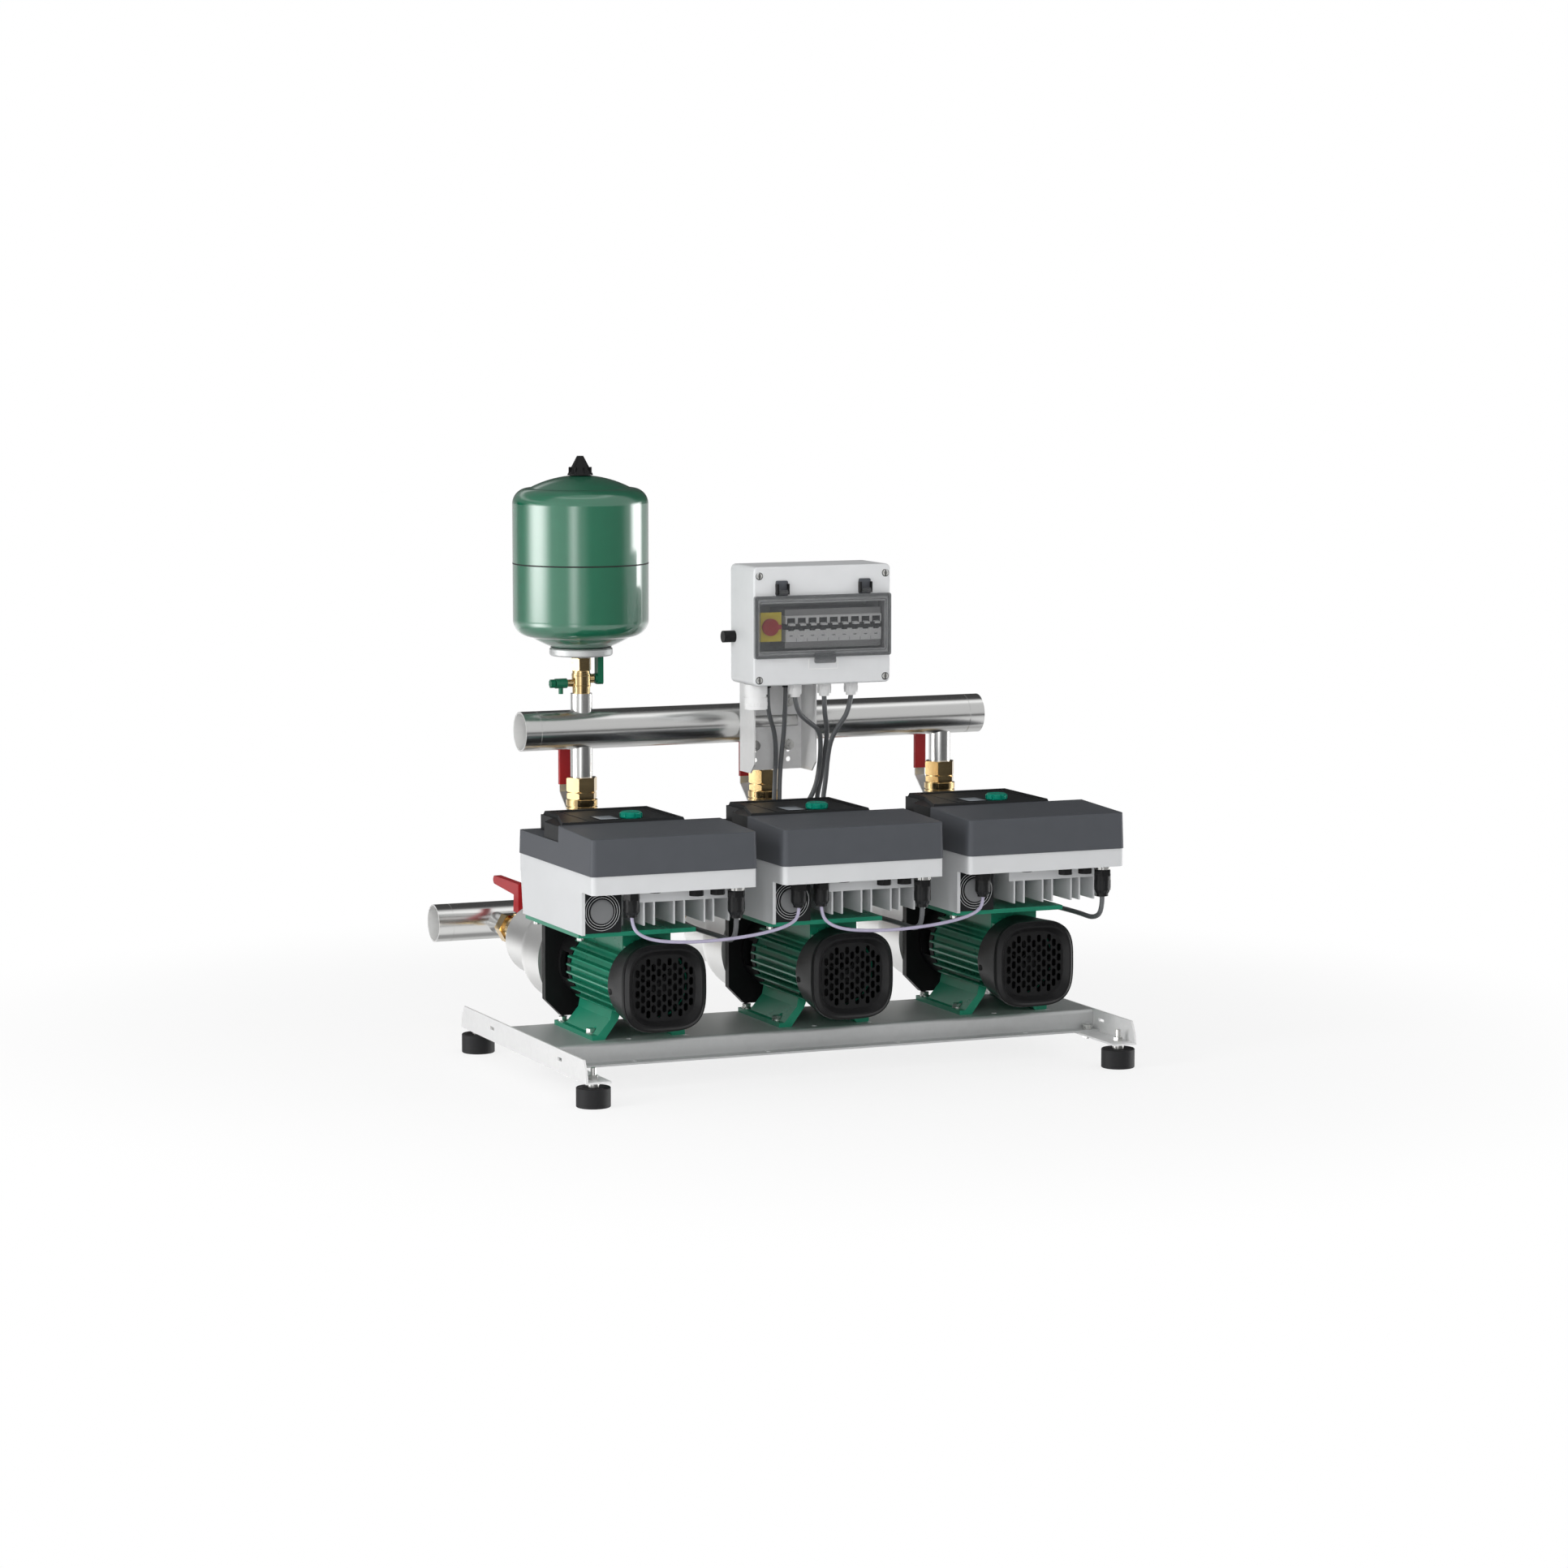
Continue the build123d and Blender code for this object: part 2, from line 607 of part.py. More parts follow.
def lantern(x):
    """Black bracket between motor and pump: a hollow neck and an eight-sided flange."""
    flange = Rectangle(2 * FLANGE_HALF, 2 * FLANGE_HALF + 7)
    flange = chamfer(flange.vertices(), FLANGE_CORNER)
    plane = Plane(origin=(x, FLANGE_REAR, AXIS_Z), x_dir=(1, 0, 0), z_dir=(0, -1, 0))
    plate = extrude(plane * flange, FLANGE_REAR - FLANGE_FRONT)
    neck = rod_y(x, AXIS_Z, LANTERN_R, MOTOR_REAR, FLANGE_FRONT)
    hollow = rod_y(x, AXIS_Z, LANTERN_R - 8, MOTOR_REAR - 1, FLANGE_REAR - 8)
    windows = block(x - 90, x + 90, MOTOR_REAR + 12, FLANGE_FRONT - 10, AXIS_Z - 20, AXIS_Z + 20)
    shaft_hole = rod_y(x, AXIS_Z, SHAFT_R + FREE_GAP, FLANGE_FRONT, FLANGE_REAR + 1)
    under_plate = block(x - 90, x + 90, MOTOR_REAR - 1, FLANGE_REAR + 1, PLATE_Z, PLATE_Z + 60)
    return (plate + neck) - hollow - windows - shaft_hole - under_plate


# Pump

def casing_outline(shrink):
    """Half section of the pressed casing, drawn in along all its walls by shrink."""
    radius = CASING_R - shrink
    bend = CASING_DISH - shrink
    neck = NECK_R - shrink
    dish_end = CASING_STRAIGHT + bend * math.sqrt(1 - ((neck - radius + bend) / bend) ** 2)
    edge = 16 - shrink
    rear = NECK_REAR - FLANGE_REAR - shrink
    start = shrink
    mid = math.radians(math.degrees(math.acos((neck - radius + bend) / bend)) / 2)
    dish = ThreePointArc(
        (radius, CASING_STRAIGHT),
        (radius - bend + bend * math.cos(mid), CASING_STRAIGHT + bend * math.sin(mid)),
        (neck, dish_end),
    )
    round_off = RadiusArc((neck, rear - edge), (neck - edge, rear), -edge)
    lines = [
        Line((0, start), (radius, start)),
        Line((radius, start), (radius, CASING_STRAIGHT)),
        dish,
        Line((neck, dish_end), (neck, rear - edge)),
        round_off,
        Line((neck - edge, rear), (0, rear)),
        Line((0, rear), (0, start)),
    ]
    return make_face(Curve() + lines)


def casing_step(radius, low, high):
    """Half section of a plain round part of the casing about its axis."""
    return Pos(0, low) * Rectangle(radius, high - low, align=(Align.MIN, Align.MIN))


def pump_casing(x):
    """Pressed steel casing with its rim, suction hub behind and discharge neck on top."""
    depth = NECK_REAR - FLANGE_REAR
    rim = casing_step(CASING_R + CASING_RIM, 0, CASING_RIM_T)
    hub = casing_step(HUB_R, depth - 2, depth + HUB_LENGTH)
    shaft_hole = casing_step(SHAFT_R + FREE_GAP, -1, CASING_WALL + 1)
    hub_bore = casing_step(PORT_R, depth - 10, depth + HUB_LENGTH + 1)
    outside = casing_outline(0) + rim + hub
    inside = casing_outline(CASING_WALL) + shaft_hole + hub_bore
    body = along_y(revolve(Plane.XZ * outside, Axis.Z), x, FLANGE_REAR, AXIS_Z)
    body += rod_z(x, DISCHARGE_Y, DELIVERY_NECK_R, AXIS_Z + CASING_R - 14, CHECK_Z - 22)
    body = body - along_y(revolve(Plane.XZ * inside, Axis.Z), x, FLANGE_REAR, AXIS_Z)
    return body - rod_z(x, DISCHARGE_Y, PORT_R, AXIS_Z + 60, CHECK_Z)


def pump_rotor(x):
    """Stub shaft with the motor's rotor core and the stack of closed impellers."""
    shaft_end = FLANGE_REAR + 24 + STAGES * STAGE_PITCH
    shaft = rod_y(x, AXIS_Z, SHAFT_R, 56, shaft_end)
    core = rod_y(x, AXIS_Z, 30, 130, 246) - rod_y(x, AXIS_Z, SHAFT_R, 129, 247)
    solids = [shaft, core]
    for i in range(STAGES):
        y = FLANGE_REAR + 16 + i * STAGE_PITCH
        hub = [
            (SHAFT_R, 0),
            (IMPELLER_R, 0),
            (IMPELLER_R, 8),
            (22, 12),
            (22, 18),
            (18, 18),
            (18, 9),
            (IMPELLER_R - 4, 5.5),
            (IMPELLER_R - 4, 3),
            (SHAFT_R + 5, 3),
            (SHAFT_R + 5, 16),
            (SHAFT_R, 16),
        ]
        wheel = turned(hub)
        vane = Pos(0, 0, 2.5) * Box(2, 2, 8, align=(Align.CENTER, Align.CENTER, Align.MIN))
        vanes = [Rot(0, 0, i * 60) * Pos(30, 0, 0) * vane for i in range(6)]
        solids.append(along_y(wheel + vanes, x, y, AXIS_Z))
    return group(solids)


# Drive

def drive_base(x):
    """Cast tray with a side skirt, cooling fins below and the throat to the motor."""
    width = DRIVE_RIGHT - DRIVE_LEFT
    centre = (x + (DRIVE_LEFT + DRIVE_RIGHT) / 2, DRIVE_REAR / 2, TRAY_BOTTOM)
    tray = Pos(*centre) * extrude(RectangleRounded(width, DRIVE_REAR, DRIVE_CORNER),
                                  TRAY_TOP - TRAY_BOTTOM)
    seat = PLATE_Z + PLATE_T
    side = [
        (SKIRT_FRONT, seat),
        (DRIVE_REAR - 16, seat),
        (DRIVE_REAR - 7, TRAY_BOTTOM),
        (SKIRT_FRONT, TRAY_BOTTOM),
    ]
    place = Plane(origin=(x + DRIVE_LEFT, 0, 0), x_dir=(0, 1, 0), z_dir=(1, 0, 0))
    skirt = extrude(place * make_face(Polyline(*side, close=True)), SKIRT_T)
    throat = block(x - 60, x - 34, 120, 262, seat, TRAY_BOTTOM)
    root = block(x - 34, x + HEAT_FIN_XS[-1] + HEAT_FIN_T, HEAT_FRONT, HEAT_REAR,
                 TRAY_BOTTOM - 22, TRAY_BOTTOM)
    fins = []
    for offset in HEAT_FIN_XS:
        fin_x = x + offset
        fins.append(block(fin_x - HEAT_FIN_T / 2, fin_x + HEAT_FIN_T / 2, HEAT_FRONT, HEAT_REAR,
                          HEAT_FIN_BOTTOM, TRAY_BOTTOM))
    return tray + skirt + throat + root + fins


def side_fan(x):
    """Small square blower under the drive's front left corner."""
    left = x + DRIVE_LEFT + SKIRT_T
    bottom = PLATE_Z + PLATE_T
    frame = block(left, left + SIDE_FAN_SIZE, SIDE_FAN_Y, SIDE_FAN_Y + SIDE_FAN_DEPTH,
                  bottom, TRAY_BOTTOM)
    mid_x = left + SIDE_FAN_SIZE / 2
    mid_z = (bottom + TRAY_BOTTOM) / 2
    for radius in (27.0, 22.0):
        ring = rod_y(mid_x, mid_z, radius + 1.5, SIDE_FAN_Y - 1, SIDE_FAN_Y + 2)
        frame -= ring - rod_y(mid_x, mid_z, radius - 1.0, SIDE_FAN_Y - 1, SIDE_FAN_Y + 2)
    return frame + rod_y(mid_x, mid_z, 17.5, SIDE_FAN_Y - 1.5, SIDE_FAN_Y)


def drive_cover(x):
    """Hood with slightly tapered walls: a sloping front block and a lower rear deck."""
    width = DRIVE_RIGHT - DRIVE_LEFT
    height = COVER_TOP_BACK - TRAY_TOP
    taper = math.degrees(math.atan(COVER_TAPER / height))
    centre = (x + (DRIVE_LEFT + DRIVE_RIGHT) / 2, DRIVE_REAR / 2, TRAY_TOP)
    outline = RectangleRounded(width + 2 * COVER_LIP, DRIVE_REAR + 2 * COVER_LIP,
                               DRIVE_CORNER + COVER_LIP)
    hood = Pos(*centre) * extrude(outline, height, taper=taper)
    above = [
        (-10, COVER_TOP_FRONT),
        (COVER_STEP_Y, COVER_TOP_BACK),
        (COVER_STEP_Y, COVER_DECK),
        (DRIVE_REAR + 10, COVER_DECK),
        (DRIVE_REAR + 10, COVER_TOP_BACK + 20),
        (-10, COVER_TOP_BACK + 20),
    ]
    place = Plane(origin=(x - 200, 0, 0), x_dir=(0, 1, 0), z_dir=(1, 0, 0))
    hood -= extrude(place * make_face(Polyline(*above, close=True)), 400)
    top = [e for e in hood.edges() if abs(e.center().Z - COVER_TOP_FRONT) < 0.6]
    return fillet(top, 1.5)


def drive_panel(x):
    """Black operating panel on the rear deck: a low hood, and on it a raised tier with a sunk face."""
    front = COVER_STEP_Y + FREE_GAP
    hood = [
        (HOOD_LEFT, front),
        (PANEL_RIGHT, front),
        (PANEL_RIGHT, PANEL_REAR),
        (PANEL_LEFT - 4, PANEL_REAR),
        (PANEL_LEFT - 4, HOOD_CORNER_Y + HOOD_BEVEL),
        (HOOD_LEFT, HOOD_CORNER_Y),
    ]
    tier = [
        (HOOD_LEFT + 4, front),
        (PANEL_RIGHT, front),
        (PANEL_RIGHT, PANEL_REAR),
        (PANEL_LEFT, PANEL_REAR),
        (PANEL_LEFT, HOOD_CORNER_Y + HOOD_BEVEL - 8),
    ]
    body = Pos(x, 0, COVER_DECK) * extrude(make_face(Polyline(*hood, close=True)),
                                           HOOD_TOP - COVER_DECK)
    body += Pos(x, 0, HOOD_TOP) * extrude(make_face(Polyline(*tier, close=True)),
                                          PANEL_TOP - HOOD_TOP, taper=20)
    sunk = block(x + PANEL_LEFT + 16, x + PANEL_RIGHT - 8, front + 6, PANEL_REAR - 8,
                 PANEL_TOP - 1.5, PANEL_TOP + 1)
    hole = rod_z(x + KNOB_X, KNOB_Y, KNOB_STEM_R + RUN_GAP, PANEL_TOP - 14, PANEL_TOP + 1)
    return body - sunk - hole


def drive_knob(x):
    """Turn knob with a shallow grip ring and a stem in the panel."""
    base = PANEL_TOP - 1.5 + FREE_GAP
    outline = [
        (0, -10),
        (KNOB_STEM_R, -10),
        (KNOB_STEM_R, 0),
        (KNOB_R - 1, 0),
        (KNOB_R, 1.5),
        (KNOB_R, KNOB_HEIGHT - 1.5),
        (KNOB_R - 1.5, KNOB_HEIGHT),
        (0, KNOB_HEIGHT),
    ]
    knob = turned(outline)
    notch = Pos(KNOB_R, 0, KNOB_HEIGHT / 2) * Box(2.4, 3.2, KNOB_HEIGHT + 2)
    notches = [Rot(0, 0, i * 45) * notch for i in range(8)]
    return Pos(x + KNOB_X, KNOB_Y, base) * (knob - notches)


# Valves: each is made with its bore along Z and its stem along X, then laid in a plane

def valve_plane_up(x):
    """Discharge valve: bore upright, stem to the rear."""
    return Plane(origin=(x, DISCHARGE_Y, VALVE_Z), x_dir=(0, 1, 0), z_dir=(0, 0, 1))


def valve_plane_level(x):
    """Suction valve: bore along Y, stem upwards."""
    return Plane(origin=(x, SUCTION_VALVE_Y, AXIS_Z), x_dir=(0, 0, 1), z_dir=(0, 1, 0))


def vessel_valve_plane():
    """Vessel valve: bore upright, stem to the right."""
    return Plane(origin=(VESSEL_X, DISCHARGE_Y, VESSEL_VALVE_Z), x_dir=(1, 0, 0), z_dir=(0, 0, 1))


def ball_and_stem(ball_r, bore_r, stem_r, stem_length):
    """Bored ball with the stem that turns it."""
    body = Sphere(ball_r) - rod_z(0, 0, bore_r, -ball_r, ball_r)
    return body + rod_x(0, 0, stem_r, bore_r + 2, stem_length)


def chamber(ball_r, bore_r, stem_r, reach):
    """What is cut out of a valve body: ball room, bore and stem hole."""
    room = Sphere(ball_r + FREE_GAP) + rod_z(0, 0, bore_r, -reach, reach)
    return room + rod_x(0, 0, stem_r + RUN_GAP, 0, reach)


def valve_body():
    """Brass body, waisted at both ends, with a stem neck."""
    outline = [
        (0, -VALVE_HALF),
        (18, -VALVE_HALF),
        (18, -14),
        (21, -11),
        (21, 11),
        (18, 14),
        (18, VALVE_HALF),
        (0, VALVE_HALF),
    ]
    body = turned(outline) + rod_x(0, 0, 10, 15, STEM_NECK)
    return body - chamber(BALL_R, 8.5, STEM_R, 60)


def discharge_valve(x):
    """Brass stack over one pump: check valve, ball valve and pipe union."""
    valve = valve_plane_up(x) * valve_body()
    low = CHECK_Z - 22
    outline = [
        (12, low),
        (24, low),
        (24, low + 10),
        (CHECK_R + 3, low + 12),
        (CHECK_R + 3, low + 34),
        (18, low + 42),
        (18, VALVE_Z - VALVE_HALF),
        (8.5, VALVE_Z - VALVE_HALF),
        (8.5, low + 40),
        (CHECK_R - 2, low + 32),
        (CHECK_R - 2, low + 12),
        (12, low + 12),
    ]
    check = Pos(x, DISCHARGE_Y, 0) * turned(outline)
    top = VALVE_Z + VALVE_HALF
    union = rod_z(x, DISCHARGE_Y, UNION_R, top, top + 3) + rod_z(x, DISCHARGE_Y, UNION_R - 2, top, top + 15)
    union += rod_z(x, DISCHARGE_Y, UNION_R, top + 5, top + 14)
    union += nut_z(x, DISCHARGE_Y, UNION_R, top + 15, top + 25)
    union += rod_z(x, DISCHARGE_Y, UNION_R - 3, top + 24, top + 27)
    union += nut_z(x, DISCHARGE_Y, UNION_R + 0.6, top + 26, top + 48)
    union -= rod_z(x, DISCHARGE_Y, BRANCH_R, top + 15, top + 49)
    union -= rod_z(x, DISCHARGE_Y, 12, top - 1, top + 49)
    return [valve, check, union]


def check_disc(x):
    """Spring-loaded check disc with its guide stem, closed on the seat below."""
    seat = CHECK_Z - 10
    disc = rod_z(x, DISCHARGE_Y, CHECK_R - 5, seat, seat + 3)
    guide = rod_z(x, DISCHARGE_Y, 3, seat + 3, seat + 14)
    return disc + guide


def discharge_lever(x):
    """Steel handle with a vinyl grip, cranked clear of the manifold, on the ball's stem."""
    stem = valve_plane_up(x) * ball_and_stem(BALL_R, 8.5, STEM_R, LEVER_REACH)
    y = DISCHARGE_Y + LEVER_REACH
    centre = [
        (y, VALVE_Z - 10),
        (y, VALVE_Z + 14),
        (y + LEVER_CRANK, VALVE_Z + 44),
        (y + LEVER_CRANK, VALVE_Z + LEVER_LENGTH),
        (y + LEVER_CRANK + LEVER_T, VALVE_Z + LEVER_LENGTH),
        (y + LEVER_CRANK + LEVER_T, VALVE_Z + 44),
        (y + LEVER_T, VALVE_Z + 13),
        (y + LEVER_T, VALVE_Z - 10),
    ]
    half = LEVER_WIDTH / 2 - 1.5
    place = Plane(origin=(x - half, 0, 0), x_dir=(0, 1, 0), z_dir=(1, 0, 0))
    strap = extrude(place * make_face(Polyline(*centre, close=True)), 2 * half)
    nut = hex_y(x, VALVE_Z, 7, y + LEVER_T, y + LEVER_T + 5)
    grip_z = VALVE_Z + GRIP_START
    end = VALVE_Z + LEVER_LENGTH + 2
    crank_y = y + LEVER_CRANK
    grip = block(x - LEVER_WIDTH / 2, x + LEVER_WIDTH / 2, crank_y - 2, crank_y + LEVER_T + 2,
                 grip_z, end)
    grip = fillet(grip.edges().filter_by(Axis.Z), 1.8)
    return group([stem + strap + nut - grip, grip])


def suction_valve(x):
    """Brass valve between the pump's suction hub and the manifold's branch."""
    valve = valve_plane_level(x) * valve_body()
    front = SUCTION_VALVE_Y - VALVE_HALF
    rear = SUCTION_VALVE_Y + VALVE_HALF
    hub_end = NECK_REAR + HUB_LENGTH
    inlet = rod_y(x, AXIS_Z, 22, hub_end, front) + hex_y(x, AXIS_Z, UNION_R, hub_end, hub_end + 12)
    inlet -= rod_y(x, AXIS_Z, 12, hub_end - 1, front + 1)
    union = hex_y(x, AXIS_Z, UNION_R + 1, rear, rear + 24)
    union -= rod_y(x, AXIS_Z, 12, rear - 1, rear + 25)
    union -= rod_y(x, AXIS_Z, BRANCH_R, rear + 6, rear + 25)
    return [valve, inlet, union]


def suction_lever(x):
    """Cast L-shaped handle that stands on the stem and reaches back over the pipe."""
    stem = valve_plane_level(x) * ball_and_stem(BALL_R, 8.5, STEM_R, LEVER_REACH - 6)
    y = SUCTION_VALVE_Y
    foot = AXIS_Z + LEVER_REACH - 6
    outline = [
        (y - 12, foot),
        (y + 12, foot),
        (y + 10, foot + 27),
        (y + 104, foot + 33),
        (y + 110, foot + 39),
        (y + 104, foot + 46),
        (y - 12, foot + 46),
    ]
    place = Plane(origin=(x - 6, 0, 0), x_dir=(0, 1, 0), z_dir=(1, 0, 0))
    arm = extrude(place * make_face(Polyline(*outline, close=True)), 12)
    arm = fillet(arm.edges().filter_by(Axis.X).group_by(Axis.Y)[-1], 5)
    return group([stem, arm])


def valve_bodies():
    """All the brass in the six pump branches, piece by piece."""
    solids = []
    for x in PUMPS:
        solids += discharge_valve(x)
        solids += suction_valve(x)
    return group(solids)


# Manifolds

def manifold(y, z, branch_from, branch_to, upright):
    """Plain-ended pipe with a shallow coupling groove at each end and three branches."""
    pipe = rod_x(y, z, PIPE_R, MANIFOLD_LEFT, MANIFOLD_RIGHT)
    for end, inwards in ((MANIFOLD_LEFT, 1), (MANIFOLD_RIGHT, -1)):
        start = end + inwards * GROOVE_FROM_END
        stop = start + inwards * GROOVE_WIDTH
        ring = rod_x(y, z, PIPE_R + 1, min(start, stop), max(start, stop))
        pipe -= ring - rod_x(y, z, PIPE_R - GROOVE_DEPTH, min(start, stop), max(start, stop))
    bores = [rod_x(y, z, PIPE_R - PIPE_WALL, MANIFOLD_LEFT - 1, MANIFOLD_RIGHT + 1)]
    for x in PUMPS:
        if upright:
            pipe += rod_z(x, y, BRANCH_R, branch_from, branch_to)
            bores.append(rod_z(x, y, BRANCH_R - BRANCH_WALL, branch_from - 1, branch_to))
        else:
            pipe += rod_y(x, z, BRANCH_R, branch_from, branch_to)
            bores.append(rod_y(x, z, BRANCH_R - BRANCH_WALL, branch_from - 1, branch_to))
    return pipe, bores


def discharge_manifold():
    """Upper pipe, with its branches down to the unions and the vessel's socket on top."""
    seat = VALVE_Z + VALVE_HALF + 15
    pipe, bores = manifold(DISCHARGE_Y, DISCHARGE_Z, seat, DISCHARGE_Z, True)
    pipe += rod_z(VESSEL_X, DISCHARGE_Y, SOCKET_R, DISCHARGE_Z, SOCKET_TOP)
    bores.append(rod_z(VESSEL_X, DISCHARGE_Y, 9, DISCHARGE_Z, SOCKET_TOP + 1))
    return pipe - bores


def suction_manifold():
    """Lower pipe behind the pumps, with its branches forward to the valves."""
    seat = SUCTION_VALVE_Y + VALVE_HALF + 6
    pipe, bores = manifold(SUCTION_Y, AXIS_Z, seat, SUCTION_Y, False)
    return pipe - bores


# Vessel

def vessel_outline(wall):
    """Half section of the vessel, drawn in along all its walls by wall."""
    r = VESSEL_R - wall
    low = VESSEL_BOTTOM + wall
    high = VESSEL_TOP - wall
    shoulder = VESSEL_R - VESSEL_EDGE
    edge = r - VESSEL_EDGE * 0.24
    dome = (shoulder ** 2 + VESSEL_RISE ** 2) / (2 * VESSEL_RISE)
    half = math.asin(shoulder / dome) / 2
    crown = (dome * math.sin(half), high - dome * (1 - math.cos(half)))
    foot = VESSEL_FLANGE_R - 6
    lines = [
        Line((0, low), (foot, low)),
        ThreePointArc((foot, low), (shoulder * 0.82, low + 9), (shoulder, low + 17)),
        ThreePointArc((shoulder, low + 17), (edge, low + 26), (r, low + 44)),
        Line((r, low + 44), (r, high - 42)),
        ThreePointArc((r, high - 42), (edge, high - 27), (shoulder, high - VESSEL_RISE)),
        ThreePointArc((shoulder, high - VESSEL_RISE), crown, (0, high)),
        Line((0, high), (0, low)),
    ]
    return make_face(Curve() + lines)


def vessel():
    """Pressed steel shell with domed ends, a groove round its seam and a port below."""
    shell = revolve(Plane.XZ * vessel_outline(0), Axis.Z)
    shell -= revolve(Plane.XZ * vessel_outline(VESSEL_WALL), Axis.Z)
    shell -= rod_z(0, 0, VESSEL_PORT_R, VESSEL_BOTTOM - 1, VESSEL_BOTTOM + VESSEL_WALL + 1)
    ring = rod_z(0, 0, VESSEL_R + 1, VESSEL_SEAM - 1, VESSEL_SEAM + 1)
    shell -= ring - rod_z(0, 0, VESSEL_R - VESSEL_WALL / 2, VESSEL_SEAM - 2, VESSEL_SEAM + 2)
    return Pos(VESSEL_X, DISCHARGE_Y, 0) * shell


def vessel_cap():
    """Black ribbed cap over the air valve."""
    foot = VESSEL_TOP - 4
    outline = [
        (0, foot + 4.2),
        (6, foot + 4.2),
        (CAP_R, foot + 1.2),
        (CAP_R - 1, foot + 6),
        (7, foot + CAP_HEIGHT),
        (5, foot + CAP_HEIGHT + 4),
        (0, foot + CAP_HEIGHT + 4),
    ]
    cap = turned(outline)
    rib = Pos(14, 0, foot + 10) * Box(9, 1.6, 12)
    ribs = [Rot(0, 0, i * 45) * rib for i in range(8)]
    cap = cap + ribs - Pos(0, 0, VESSEL_TOP - 60) * extrude(Circle(60), 60.0)
    return Pos(VESSEL_X, DISCHARGE_Y, 0) * cap


def vessel_flange():
    """Silver connection flange under the vessel, with its threaded spigot."""
    top = VESSEL_BOTTOM
    low = top - VESSEL_FLANGE_T
    outline = [
        (VESSEL_PORT_R, VESSEL_VALVE_TOP - 8),
        (11, VESSEL_VALVE_TOP - 8),
        (11, VESSEL_VALVE_TOP),
        (12.5, low),
        (VESSEL_FLANGE_R - 2, low),
        (VESSEL_FLANGE_R, low + 2),
        (VESSEL_FLANGE_R, top - 2),
        (VESSEL_FLANGE_R - 2, top),
        (VESSEL_PORT_R, top),
    ]
    return Pos(VESSEL_X, DISCHARGE_Y, 0) * turned(outline)


def vessel_valve():
    """Flow-through fitting under the vessel: hexagon nut, ball body and drain neck."""
    half = VESSEL_VALVE_Z - SOCKET_TOP
    body = rod_z(0, 0, 13.5, -half, VESSEL_VALVE_TOP - VESSEL_VALVE_Z - 20)
    body += rod_z(0, 0, 12, 0, 14)
    body += rod_z(0, 0, 14.5, -12, 8)
    body += nut_z(0, 0, 16, VESSEL_VALVE_TOP - VESSEL_VALVE_Z - 19, VESSEL_VALVE_TOP - VESSEL_VALVE_Z)
    body += rod_x(0, 0, 7, 10, 19)
    body += rod_x(0, -6, 5.5, -24, -10)
    body -= chamber(VESSEL_BALL_R, 6, VESSEL_STEM_R, 50)
    body -= rod_z(0, 0, 11, VESSEL_VALVE_TOP - VESSEL_VALVE_Z - 8, 60)
    body -= rod_x(0, -6, DRAIN_R + RUN_GAP, -30, -10)
    return vessel_valve_plane() * body


def vessel_lever():
    """Green wing handle with the ball and stem that it turns."""
    reach = 25.0
    stem = ball_and_stem(VESSEL_BALL_R, 6, VESSEL_STEM_R, reach)
    wing = Pos(reach + 4, 0, 13) * Box(9, 15, 44)
    wing = fillet(wing.edges().filter_by(Axis.X), 4)
    boss = rod_x(0, 0, 7.5, reach - 4, reach + 1)
    return vessel_valve_plane() * group([stem - boss, wing + boss])


def drain_body():
    """Green hose body of the drain cock, with its spout pointing down."""
    body = rod_x(0, -6, 7.5, -42, -24) + rod_z(-33, 0, 3.5, -22, -8)
    body -= rod_z(-33, 0, 2, -23, -8)
    body -= rod_x(0, -6, DRAIN_R + RUN_GAP, -43, -20)
    return vessel_valve_plane() * body


def drain_knob():
    """Knurled wheel and spindle that open the drain."""
    wheel = rod_x(0, -6, 6.5, -50, -43)
    notch = block(-51, -42, 5.6, 8, -0.8, 0.8)
    notches = [Pos(0, 0, -6) * Rot(i * 45, 0, 0) * notch for i in range(8)]
    spindle = rod_x(0, -6, DRAIN_R, -44, -16)
    return vessel_valve_plane() * (wheel - notches + spindle)


# Control box

def control_box():
    """Enclosure base and lid: an open-backed recess behind the window holds the breakers."""
    middle = ((BOX_LEFT + BOX_RIGHT) / 2, 0, (BOX_BOTTOM + BOX_TOP) / 2)
    width = BOX_RIGHT - BOX_LEFT
    height = BOX_TOP - BOX_BOTTOM
    lid_back = BOX_FRONT + LID_DEPTH
    outer = Plane(origin=(middle[0], BOX_REAR, middle[2]), x_dir=(1, 0, 0), z_dir=(0, -1, 0))
    face = RectangleRounded(width, height, BOX_CORNER)
    base = extrude(outer * face, BOX_REAR - lid_back)
    inner_face = RectangleRounded(width - 2 * BOX_WALL, height - 2 * BOX_WALL, BOX_CORNER - BOX_WALL)
    inner = Plane(origin=(middle[0], BOX_REAR - BOX_WALL, middle[2]), x_dir=(1, 0, 0),
                  z_dir=(0, -1, 0))
    base -= extrude(inner * inner_face, BOX_REAR)
    lid_plane = Plane(origin=(middle[0], lid_back, middle[2]), x_dir=(1, 0, 0), z_dir=(0, -1, 0))
    lid = extrude(lid_plane * face, LID_DEPTH)
    edge = lid.edges().group_by(Axis.Y)[0]
    lid = fillet(edge, 3)
    recess = block(BREAKER_LEFT - 46, BREAKER_LEFT + BREAKER_COUNT * BREAKER_W + 3,
                   BOX_FRONT - 1, lid_back + 1, WINDOW_BOTTOM + 10, WINDOW_TOP - 12)
    lid -= recess
    return group([base, lid, *lid_screws(), switch_plate()])


